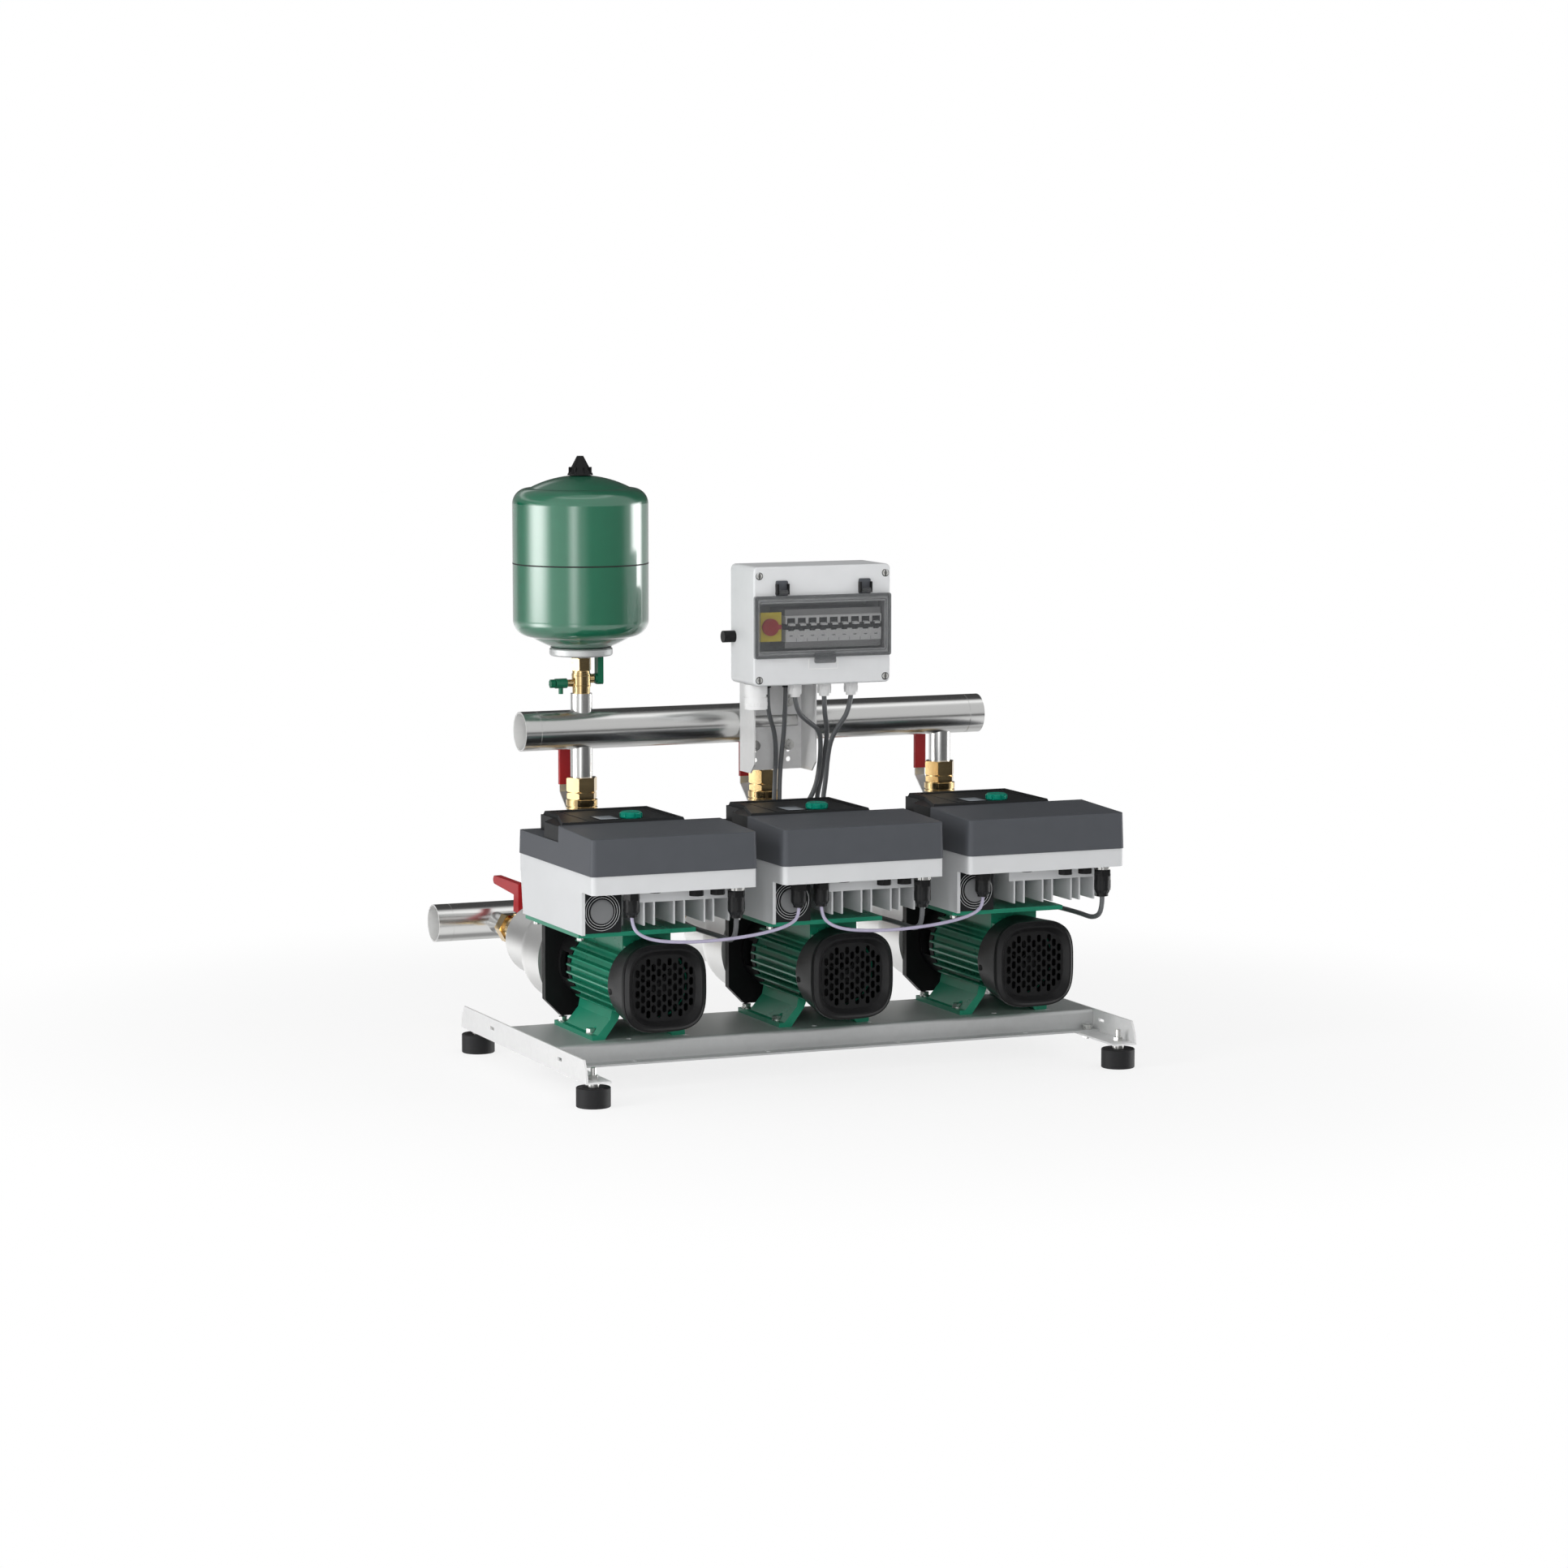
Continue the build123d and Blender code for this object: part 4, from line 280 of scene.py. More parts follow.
def galvanised_steel(name, color, shine):
    """Hot-dipped sheet: pale, with faint spangle and fine grain."""
    finish = Finish(name)
    spangle = finish.node("ShaderNodeTexVoronoi", {}, {"Vector": finish.place, "Scale": 130.0})
    split = finish.node("ShaderNodeSeparateColor", {}, {0: spangle.outputs["Color"]})
    cell = Wire(finish, split.outputs[0])
    grain = finish.noise(900.0, 2.0)
    tone = finish.mix(cell * 0.35 + grain * 0.4, tinted(color, 0.93), tinted(color, 1.05))
    return finish.set(
        Base_Color=tone,
        Metallic=shine,
        Roughness=cell * 0.08 + 0.42,
        Normal=finish.bump(grain, 0.00004),
    )


def zinc_plate(color):
    """Bright zinc on bolts and washers."""
    finish = Finish("zinc_plate")
    cloud = finish.noise(260.0, 3.0)
    return finish.set(
        Base_Color=finish.mix(cloud, tinted(color, 0.85), color),
        Metallic=1.0,
        Roughness=cloud * 0.15 + 0.22,
    )


def pressed_steel(color):
    """Stainless casing with lines round its axis and soft clouds of polish."""
    finish = Finish("pressed_steel")
    lines = finish.noise(1.0, 2.0, (12.0, 900.0, 12.0))
    cloud = finish.noise(14.0, 2.0)
    return finish.set(
        Base_Color=finish.mix(lines * 0.6 + cloud * 0.4, tinted(color, 0.9), color),
        Metallic=1.0,
        Roughness=lines * 0.1 + cloud * 0.06 + 0.32,
        Normal=finish.bump(lines, 0.00002),
    )


def motor_paint(color):
    """Green enamel on cast alloy, a little uneven, with orange peel."""
    finish = Finish("motor_paint")
    peel = finish.noise(420.0, 2.0)
    cloud = finish.noise(30.0, 3.0)
    return finish.set(
        Base_Color=finish.mix(cloud, tinted(color, 0.85), tinted(color, 1.12)),
        Roughness=cloud * 0.1 + 0.24,
        Specular_IOR_Level=0.35,
        Normal=finish.bump(peel, 0.00008),
    )


def cast_grey(color):
    """Light grey powder coat on the die-cast drive bases."""
    finish = Finish("drive_powder_coat")
    peel = finish.noise(700.0, 2.0)
    cloud = finish.noise(24.0, 2.0)
    return finish.set(
        Base_Color=finish.mix(cloud, tinted(color, 0.96), tinted(color, 1.03)),
        Roughness=cloud * 0.08 + 0.42,
        Normal=finish.bump(peel, 0.00006),
    )


def moulded_plastic(name, color, rough, grain=1100.0, depth=0.00005):
    """Moulded plastic with fine spark-eroded grain."""
    finish = Finish(name)
    skin = finish.noise(grain, 2.0)
    cloud = finish.noise(35.0, 2.0)
    return finish.set(
        Base_Color=finish.mix(cloud, tinted(color, 0.93), tinted(color, 1.06)),
        Roughness=skin * 0.08 + cloud * 0.05 + rough,
        Specular_IOR_Level=0.24,
        Normal=finish.bump(skin, depth),
    )


def vessel_enamel(color):
    """Smooth glossy paint under a strong clear coat, with the slightest ripple."""
    finish = Finish("vessel_enamel")
    ripple = finish.noise(60.0, 2.0)
    return finish.set(
        Base_Color=finish.mix(ripple, tinted(color, 0.95), tinted(color, 1.05)),
        Roughness=ripple * 0.05 + 0.35,
        Coat_Weight=1.0,
        Coat_IOR=1.85,
        Coat_Roughness=0.11,
        Normal=finish.bump(ripple, 0.00002),
    )


def machined_brass(name, color, plastic, edge):
    """Pressed and turned brass, with fine turning marks and faint tarnish.

    Left of the edge, an X in the set's millimetres, it is moulded plastic.
    """
    finish = Finish(name)
    metal = set_millimetres(finish)[0].over(edge - 0.1, edge + 0.1)
    cloud = finish.noise(45.0, 2.0)
    turning = finish.noise(1.0, 1.0, (60.0, 60.0, 2600.0))
    brass = finish.mix(cloud, tinted(color, 0.92), tinted(color, 1.05))
    return finish.set(
        Base_Color=finish.mix(metal, plastic, brass),
        Metallic=metal,
        Roughness=cloud * 0.04 + turning * 0.04 - metal * 0.2 + 0.29,
        Normal=finish.bump(turning, 0.00001),
    )


def foot_rubber(color):
    """Matt moulded rubber."""
    finish = Finish("foot_rubber")
    skin = finish.noise(800.0, 3.0)
    return finish.set(
        Base_Color=finish.mix(skin, tinted(color, 0.8), tinted(color, 1.2)),
        Roughness=skin * 0.12 + 0.55,
        Specular_IOR_Level=0.3,
        Normal=finish.bump(skin, 0.00005),
    )


def cable_sheath(name, color):
    """Extruded sheath with a faint shine and matt flecks."""
    finish = Finish(name)
    fleck = finish.noise(500.0, 3.0)
    return finish.set(
        Base_Color=finish.mix(fleck, tinted(color, 0.9), tinted(color, 1.08)),
        Roughness=fleck * 0.15 + 0.35,
        Normal=finish.bump(fleck, 0.00003),
    )


def smoked_window(name, color, cover):
    """Clear smoked plastic, glossy, that hides the given share of what is behind it."""
    finish = Finish(name)
    haze = finish.noise(50.0, 2.0)
    return finish.set(
        Base_Color=color,
        Roughness=haze * 0.04 + 0.06,
        Alpha=haze * 0.04 + cover,
        Coat_Weight=0.5,
    )


def dipped_handle(red, bare):
    """Steel strap, bare and bright below and dipped in red vinyl from its grip upwards."""
    finish = Finish("dipped_handle")
    vinyl = finish.axis("Z").over(*GRIP_Z)
    skin = finish.noise(300.0, 2.0)
    return finish.set(
        Base_Color=finish.mix(vinyl, bare, finish.mix(skin, tinted(red, 0.88), tinted(red, 1.1))),
        Metallic=1.0 - vinyl,
        Roughness=skin * 0.12 + vinyl * 0.08 + 0.24,
        Normal=finish.bump(skin, 0.00006),
    )


def set_millimetres(finish):
    """The set's own millimetres of the shaded place, by axis."""
    zero = spot(0.0, 0.0, 0.0)
    return [(finish.axis(axis) - float(zero[k])) * 1000.0 for k, axis in enumerate("XYZ")]


def drawn_pipe(color):
    """Stainless pipe, drawn bright outside and pickled dull and pale in its bore."""
    finish = Finish("drawn_pipe")
    _, y, z = set_millimetres(finish)
    upper = (y - DISCHARGE_Y) * (y - DISCHARGE_Y) + (z - DISCHARGE_Z) * (z - DISCHARGE_Z)
    lower = (y - SUCTION_Y) * (y - SUCTION_Y) + (z - SUCTION_Z) * (z - SUCTION_Z)
    bright = upper.math("MINIMUM", upper, lower).over(BORE_R ** 2, (BORE_R + 0.4) ** 2)
    lines = finish.noise(1.0, 2.0, (6.0, 900.0, 900.0))
    cloud = finish.noise(14.0, 2.0)
    return finish.set(
        Base_Color=finish.mix(lines * 0.6 + cloud * 0.4, tinted(color, 0.9), color),
        Metallic=bright * 0.85 + 0.15,
        Roughness=lines * 0.1 + cloud * 0.06 - bright * 0.3 + 0.44,
        Normal=finish.bump(lines, 0.00002),
    )


def rotor_and_fan(steel, plastic):
    """Turned steel, and black plastic on the cooling fan at the front end."""
    finish = Finish("rotor_and_fan")
    metal = set_millimetres(finish)[1].over(*FAN_REAR_Y)
    lines = finish.noise(1.0, 2.0, (200.0, 20.0, 200.0))
    return finish.set(
        Base_Color=finish.mix(metal, plastic, finish.mix(lines, tinted(steel, 0.85), steel)),
        Metallic=metal,
        Roughness=lines * 0.1 + 0.32,
        Specular_IOR_Level=0.24,
        Normal=finish.bump(lines, 0.00002),
    )


def box_plastic(shell, plate, dark):
    """Light grey moulded box, yellow behind the main switch, and painted shade: a darker grey over
    the inside of its recess in place of its shadow.
    """
    finish = Finish("box_plastic")
    x, y, z = set_millimetres(finish)
    inside = between(x - SWITCH_X, -SWITCH_HALF_X, SWITCH_HALF_X, 0.1)
    inside = inside * between(z - SWITCH_Z, -SWITCH_HALF_Z, SWITCH_HALF_Z, 0.1)
    inside = inside * between(y, 212.3, 216.8, 0.1)
    # painted shade: the recess is coloured a darker grey to stand for the shadow inside it
    recess = between(y, *RECESS_Y, 1.2) * between(x, *RECESS_X, 0.2)
    recess = recess * between(z, *RECESS_Z, 0.2)
    skin = finish.noise(1100.0, 2.0)
    cloud = finish.noise(35.0, 2.0)
    grey = finish.mix(cloud, tinted(shell, 0.95), tinted(shell, 1.04))
    return finish.set(
        Base_Color=finish.mix(inside, finish.mix(recess, grey, dark), plate),
        Roughness=skin * 0.08 + cloud * 0.05 + 0.36,
        Normal=finish.bump(skin, 0.00005),
    )


def breaker_face(name, white, black, bar, arch):
    """White breaker plastic, black between two heights and in each module's arch.

    The bar is two heights in millimetres; the arch is two heights and the nearest and
    furthest distance from the module's middle. Above and below the face it is painted
    shade: the breaker white darkened to stand for the shadow on the bodies behind.
    """
    finish = Finish(name)
    x, _, z = set_millimetres(finish)
    cell = (x - BREAKER_LEFT) / BREAKER_PITCH
    aside = (cell.math("FRACT", cell) - 0.5) * BREAKER_PITCH
    aside = aside.math("ABSOLUTE", aside)
    band = between(z, *bar, 0.15)
    band = band.math("MAXIMUM", band, between(z, *arch[:2], 0.15) * between(aside, *arch[2:], 0.2))
    face = between(z, *BREAKER_FACE_Z, 0.3)
    skin = finish.noise(900.0, 2.0)
    pale = finish.mix(skin, tinted(white, 0.94), tinted(white, 1.04))
    # painted shade: the breaker white darkened for the shadowed bodies above and below the face
    shade = tinted(white, 0.4)
    return finish.set(
        Base_Color=finish.mix(band, finish.mix(face, shade, pale), black),
        Roughness=skin * 0.1 + 0.34,
        Normal=finish.bump(skin, 0.00003),
    )


def shown(name, data, material, body="set"):
    """Links a finished mesh or curve as a piece that rides on a body."""
    piece = bpy.data.objects.new(name, data)
    bpy.context.collection.objects.link(piece)
    piece.data.materials.append(material)
    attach(piece, body)
    return piece


def cable(name, route, length, diameter, material):
    """Cable on one NURBS spline whose control points are the route's places."""
    curve = bpy.data.curves.new(name + "_line", "CURVE")
    curve.dimensions = "3D"
    spline = curve.splines.new("NURBS")
    spline.points.add(len(route) - 1)
    for point, place in zip(spline.points, metres(route)):
        point.co = (*place, 1.0)
    spline.order_u = 3
    spline.use_endpoint_u = True
    spline.resolution_u = 10
    curve.bevel_depth = diameter * MM / 2
    curve.bevel_resolution = 6
    curve.use_fill_caps = True
    piece = shown(name + "_sheath", curve, material)
    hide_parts(name)
    length * MM
    diameter * MM


AXES = {
    "z": np.eye(3),
    "-z": np.array(((1, 0, 0), (0, -1, 0), (0, 0, -1))),
    "-y": np.array(((1, 0, 0), (0, 0, 1), (0, -1, 0))),
    "-x": np.array(((0, -1, 0), (0, 0, 1), (-1, 0, 0))),
    "x": np.array(((0, 1, 0), (0, 0, 1), (1, 0, 0))),
}


def laid(local, foot, axis):
    """Turns places made about Z so that their height runs along an axis from the foot."""
    return metres(local @ AXES[axis] + np.asarray(foot, dtype=float))


def skin(name, grids):
    """One mesh over grids of places: a face joins four neighbours, and doubles are merged."""
    places = []
    faces = []
    start = 0
    for grid in grids:
        rows, columns = grid.shape[:2]
        index = start + np.arange(rows * columns).reshape(rows, columns)
        quads = np.stack((index[:-1, :-1], index[:-1, 1:], index[1:, 1:], index[1:, :-1]), axis=-1)
        places.append(grid.reshape(-1, 3))
        faces.append(quads.reshape(-1, 4))
        start += rows * columns
    data = bpy.data.meshes.new(name)
    data.from_pydata(np.concatenate(places).tolist(), [], np.concatenate(faces).tolist())
    work = bmesh.new()
    work.from_mesh(data)
    bmesh.ops.remove_doubles(work, verts=work.verts, dist=1e-6)
    bmesh.ops.dissolve_degenerate(work, edges=work.edges, dist=1e-7)
    bmesh.ops.recalc_face_normals(work, faces=work.faces)
    work.to_mesh(data)
    work.free()
    data.polygons.foreach_set("use_smooth", np.ones(len(data.polygons), dtype=bool))
    data.set_sharp_from_angle(angle=SHARP_ANGLE)
    return data


def turned(profile, foot, axis="z", steps=48, flats=0, ribs=0, depth=0.0):
    """Grid of a profile of (radius, height) carried round an axis.

    With flats, the radius is capped at the flat's distance over the cosine of the angle to
    the middle of the nearest flat; with ribs, it dips by depth times a raised cosine.
    """
    radius, height = np.asarray(profile, dtype=float).T
    angle = np.linspace(0.0, math.tau, steps + 1)
    reach = np.repeat(radius[:, None], steps + 1, axis=1)
    if flats:
        step = math.tau / flats
        flat = radius.max() * math.cos(step / 2)
        off = (angle + step / 2) % step - step / 2
        reach = np.minimum(reach, flat / np.cos(off)[None, :])
    if ribs:
        wave = 0.5 - 0.5 * np.cos(ribs * angle)
        reach = reach - depth * wave[None, :] * (reach > 0.6 * radius.max())
    tall = np.repeat(height[:, None], steps + 1, axis=1)
    local = np.stack((reach * np.cos(angle), reach * np.sin(angle), tall), axis=-1)
    return laid(local, foot, axis)


def lofted(rings, foot, axis="-y", steps=8):
    """Grid through rounded rectangles of (half width, half height, corner, depth).

    Each ring goes round four quarter circles set at its corners, and the first and last
    rings may shrink to a point to close the form.
    """
    quarter = np.linspace(0.0, math.pi / 2, steps)
    turn = np.concatenate([quarter + k * math.pi / 2 for k in range(4)])
    side_x = np.repeat((1.0, -1.0, -1.0, 1.0), steps)
    side_y = np.repeat((1.0, 1.0, -1.0, -1.0), steps)
    rows = []
    for half_x, half_y, corner, deep in rings:
        x = side_x * (half_x - corner) + corner * np.cos(turn)
        y = side_y * (half_y - corner) + corner * np.sin(turn)
        ring = np.stack((x, y, np.full_like(x, deep)), axis=-1)
        rows.append(np.concatenate((ring, ring[:1])))
    return laid(np.stack(rows), foot, axis)


def plate_rings(half_x, half_y, corner, thick, ease):
    """Rings of a closed plate with an eased front edge."""
    step = ease * 0.3
    return (
        (0.0, 0.0, 0.0, 0.0),
        (half_x, half_y, corner, 0.0),
        (half_x, half_y, corner, thick - ease),
        (half_x - step, half_y - step, max(corner - step, 0.05), thick - step),
        (half_x - ease, half_y - ease, max(corner - ease, 0.05), thick),
        (0.0, 0.0, 0.0, thick),
    )


def white_floor(color):
    """Pale floor that keeps the object's shadow near it and turns plain white further out."""
    finish = Finish("white_floor")
    finish.set(Base_Color=color, Roughness=0.85, Specular_IOR_Level=0.1)
    x = finish.axis("X")
    y = finish.axis("Y")
    far = (x * x + y * y).over(0.25, 2.4)
    seen = Wire(finish, finish.node("ShaderNodeLightPath", {}, {}).outputs["Is Camera Ray"])
    glow = finish.node("ShaderNodeEmission", {}, {"Color": WHITE, "Strength": 1.0})
    share = seen * (far * 0.22 + 0.78)
    both = {0: share, 1: finish.shader.outputs[0], 2: glow.outputs[0]}
    mixed = finish.node("ShaderNodeMixShader", {}, both)
    finish.feed(finish.out.inputs["Surface"], mixed.outputs[0])
    return finish.material


# Bright sheets of the room: their turn from and to, softness, extra light at the heights of
# the vessel and the base, and plain light. The turn is the angle about Z from the front.
SHEETS = (
    (-1.98, -1.42, 0.22, 6.0, 0.6),
    (-0.66, -0.46, 0.13, 2.6, 0.5),
    (1.34, 1.80, 0.12, 6.5, 0.7),
)


def reflected_room(nodes):
    """Brightness of the studio as polished things see it, by the direction looked in.

    Upright tubes see the band at the horizon: two bright sheets on the left, a dark gap
    to the right of the camera and one more sheet at the far right. Level tubes see the
    rings above and below it: a bright ceiling strip, grey walls and a paler floor. Tubes
    that lie from front to back see the room behind the set: a glow low down, dusk above
    it and one more glow high on the left.
    """
    place = nodes.node("ShaderNodeTexCoord", {}, {}).outputs["Generated"]
    split = nodes.node("ShaderNodeSeparateXYZ", {}, {0: place})
    x, y, z = (Wire(nodes, split.outputs[k]) for k in range(3))
    turn = x.math("ARCTAN2", x, y * -1.0)
    level_band = between(z, -0.42, 0.12, 0.08)
    lit = z.over(-0.083, -0.078) + (1.0 - z.over(-0.17, -0.15)) * 0.75
    left, middle, right = (between(turn, low, high, soft) * (lit * extra + plain)
                           for low, high, soft, extra, plain in SHEETS)
    sheets = (left + middle + right) * level_band
    gap = between(turn, -0.2, 1.05, 0.16) * between(z, -0.21, -0.02, 0.03) * 0.6
    gap = gap + between(turn, -2.72, -2.25, 0.08) * level_band * 0.4
    front = 1.0 - y.over(-0.12, 0.12)
    ceiling = between(z, 0.84, 0.93, 0.02) * front * 0.6
    floor_lit = between(z, -0.87, -0.3, 0.05) * front * 0.22
    underneath = between(z, -1.1, -0.9, 0.03) * 0.35
    low_glow = between(z, -0.34, -0.13, 0.08) * 0.6
    high_dusk = z.over(-0.1, 0.08) * (x.over(0.0, 0.3) * 0.18 + 0.42)
    high_glow = between(z, 0.34, 0.46, 0.05) * (1.0 - x.over(0.12, 0.26)) * 0.7
    behind = (1.0 - front) * (low_glow + high_glow - high_dusk)
    return sheets + ceiling + floor_lit + behind + 0.66 - gap - underneath


def studio_world(strength):
    """Sky that lights evenly, is seen as white directly and as a graded room in reflections."""
    world = bpy.data.worlds.new("studio")
    bpy.context.scene.world = world
    nodes = Nodes(world)
    path = nodes.node("ShaderNodeLightPath", {}, {})
    mirror = reflected_room(nodes)
    plain, graded, white = (
        nodes.node("ShaderNodeBackground", {}, {"Color": WHITE, "Strength": level})
        for level in (strength, mirror, 1.0))
    shiny = {0: path.outputs["Is Glossy Ray"], 1: plain.outputs[0], 2: graded.outputs[0]}
    lit = nodes.node("ShaderNodeMixShader", {}, shiny)
    clear = Wire(nodes, path.outputs["Is Camera Ray"]).math(
        "MAXIMUM", path.outputs["Is Camera Ray"], path.outputs["Is Transmission Ray"])
    both = {0: clear, 1: lit.outputs[0], 2: white.outputs[0]}
    seen = nodes.node("ShaderNodeMixShader", {}, both)
    nodes.node("ShaderNodeOutputWorld", {}, {"Surface": seen.outputs[0]})


def soft_box(name, place, width, height, power):
    """Area lamp of the given size in metres, turned towards the set's middle."""
    lamp = bpy.data.lights.new(name, "AREA")
    lamp.shape = "RECTANGLE"
    lamp.size = width
    lamp.size_y = height
    lamp.energy = power
    light = bpy.data.objects.new(name, lamp)
    light.location = place
    light.rotation_euler = (LAMP_AIM - Vector(place)).to_track_quat("-Z", "Y").to_euler()
    light.visible_glossy = False
    bpy.context.collection.objects.link(light)


def photo_camera(place, azimuth, elevation, lens):
    """Camera at the photograph's place, angles in degrees and focal length in millimetres."""
    data = bpy.data.cameras.new("photo_camera")
    data.sensor_width = 36.0
    data.lens = lens
    data.clip_end = 60.0
    camera = bpy.data.objects.new("photo_camera", data)
    camera.location = spot(*place)
    camera.rotation_euler = (math.radians(90 - elevation), 0, math.radians(azimuth))
    bpy.context.collection.objects.link(camera)
    bpy.context.scene.camera = camera


class SetSizes(bpy.types.PropertyGroup):
    """Sizes that a user would change."""

    power_diameter: bpy.props.FloatProperty(
        name="Power cable", description="Diameter of the power cables in millimetres",
        default=7.5, min=4.0, max=12.0)
    signal_diameter: bpy.props.FloatProperty(
        name="Signal cable", description="Diameter of the signal cables in millimetres",
        default=7.0, min=3.0, max=10.0)
    bus_diameter: bpy.props.FloatProperty(
        name="Bus cable", description="Diameter of the bus cables in millimetres",
        default=5.0, min=3.0, max=8.0)
    camera_place: bpy.props.FloatVectorProperty(
        name="Camera place", description="Camera place in the set's millimetres",
        default=(-2758.0, -6218.2, 1225.6), size=3)
    camera_azimuth: bpy.props.FloatProperty(
        name="Camera azimuth", description="Angle round the set in degrees", default=-22.93)
    camera_elevation: bpy.props.FloatProperty(
        name="Camera elevation", description="Angle above the horizon in degrees", default=6.49)
    camera_lens: bpy.props.FloatProperty(
        name="Camera lens", description="Focal length in millimetres on a 36 mm sensor",
        default=106.78)


def colour(name, value):
    """A colour property with its default."""
    return bpy.props.FloatVectorProperty(
        name=name, description="Base colour of the " + name.lower(), subtype="COLOR",
        size=3, min=0.0, max=1.0, default=value)


class SetColours(bpy.types.PropertyGroup):
    """Base colours of the finishes."""

    galvanised: colour("Galvanised sheet", (0.80, 0.80, 0.80))
    channel: colour("Channel steel", (0.60, 0.61, 0.61))
    zinc: colour("Zinc plate", (0.72, 0.72, 0.70))
    stainless: colour("Stainless steel", (0.78, 0.78, 0.77))
    motor: colour("Motor paint", (0.012, 0.23, 0.135))
    drive: colour("Drive coat", (0.62, 0.63, 0.64))
    cover: colour("Drive cover", (0.075, 0.08, 0.09))
    black: colour("Black plastic", (0.007, 0.007, 0.0075))
    panel: colour("Panel plastic", (0.010, 0.011, 0.012))
    knob: colour("Control knob", (0.0, 0.22, 0.15))
    brass: colour("Brass", (0.72, 0.53, 0.27))
    lever: colour("Red handles", (0.33, 0.01, 0.014))
    vessel: colour("Vessel enamel", (0.006, 0.118, 0.060))
    box: colour("Box plastic", (0.70, 0.71, 0.72))
    switch_red: colour("Switch knob", (0.5, 0.016, 0.016))
    switch_yellow: colour("Switch plate", (0.92, 0.74, 0.03))
    breaker: colour("Breaker plastic", (0.88, 0.88, 0.88))
    window: colour("Smoked window", (0.13, 0.135, 0.14))
    white: colour("White plastic", (0.80, 0.80, 0.80))
    power_cable: colour("Power and signal cables", (0.11, 0.115, 0.12))
    bus_cable: colour("Bus cables", (0.42, 0.39, 0.52))
    rubber: colour("Rubber", (0.012, 0.012, 0.013))
    rotor: colour("Rotor steel", (0.45, 0.45, 0.45))
    fan_hub: colour("Fan hub", (0.20, 0.205, 0.21))
    display: colour("Display pane", (0.30, 0.33, 0.36))
    # painted shade: the grey given to the box's recess in place of its shadow
    recess: colour("Box recess", (0.25, 0.25, 0.255))
    floor: colour("Floor", (0.95, 0.95, 0.95))


# Material name, the user's colour and roughness, then the grain's count and depth.
PLASTICS = {
    "cover": ("cover_plastic", "cover", 0.42),
    "black": ("black_plastic", "black", 0.3),
    "cast_black": ("black_cast_paint", "black", 0.38, 500.0, 0.00015),
    "panel": ("panel_plastic", "panel", 0.42),
    "knob": ("knob_plastic", "knob", 0.22),
    "wing": ("wing_plastic", "vessel", 0.25),
    "gland_black": ("gland_plastic", "panel", 0.4, 700.0),
    "fan_grey": ("hub_plastic", "fan_hub", 0.35),
    "display": ("display_pane", "display", 0.15, 300.0, 0.00001),
    "switch_red": ("switch_red", "switch_red", 0.3),
    "white": ("white_plastic", "white", 0.35),
}
ALL_BRASS_X = -2000.0
DRAIN_EDGE_X = -324.0
BREAKER_BAR = (664.5, 673.0)
BREAKER_ARCH = (673.0, 682.0, -1.0, 6.4)
TOGGLE_BAR = (650.0, 670.6)
TOGGLE_ARCH = (670.6, 685.0, 4.8, 9.0)


class Stock:
    """Materials by name, made once from the colours and shared by every piece."""

    made = {}

    @classmethod
    def take(cls, name):
        """The finish of that name."""
        if name not in cls.made:
            cls.made[name] = cls.make(name, bpy.context.scene.pump_set_colours)
        return cls.made[name]

    @staticmethod
    def make(name, paint):
        """Makes one finish from the user's colours."""
        if name in PLASTICS:
            title, color, *grain = PLASTICS[name]
            return moulded_plastic(title, getattr(paint, color), *grain)
        makers = {
            "galvanised": lambda: galvanised_steel("galvanised_sheet", paint.galvanised, 0.15),
            "channel": lambda: galvanised_steel("channel_steel", paint.channel, 0.6),
            "zinc": lambda: zinc_plate(paint.zinc),
            "pipe": lambda: drawn_pipe(paint.stainless),
            "casing": lambda: pressed_steel(tinted(paint.stainless, 1.18)),
            "rotor": lambda: rotor_and_fan(paint.rotor, paint.black),
            "motor": lambda: motor_paint(paint.motor),
            "drive": lambda: cast_grey(paint.drive),
            "brass": lambda: machined_brass(
                "machined_brass", paint.brass, paint.vessel, ALL_BRASS_X),
            "vessel_brass": lambda: machined_brass(
                "vessel_brass", paint.brass, paint.vessel, DRAIN_EDGE_X),
            "lever": lambda: moulded_plastic("lever_dip_coat", tinted(paint.lever, 1.25), 0.3),
            "dipped": lambda: dipped_handle(paint.lever, paint.zinc),
            "vessel": lambda: vessel_enamel(paint.vessel),
            "box": lambda: box_plastic(paint.box, paint.switch_yellow, paint.recess),
            "breaker": lambda: breaker_face(
                "breaker_plastic", paint.breaker, paint.black, BREAKER_BAR, BREAKER_ARCH),
            "toggle": lambda: breaker_face(
                "toggle_plastic", paint.breaker, paint.black, TOGGLE_BAR, TOGGLE_ARCH),
            "window": lambda: smoked_window("smoked_window", paint.window, 0.26),
            "window_edge": lambda: smoked_window("window_edge", paint.window, 0.6),
            "power_cable": lambda: cable_sheath("power_sheath", paint.power_cable),
            "bus_cable": lambda: cable_sheath("bus_sheath", paint.bus_cable),
            "rubber": lambda: foot_rubber(paint.rubber),
        }
        return makers[name]()


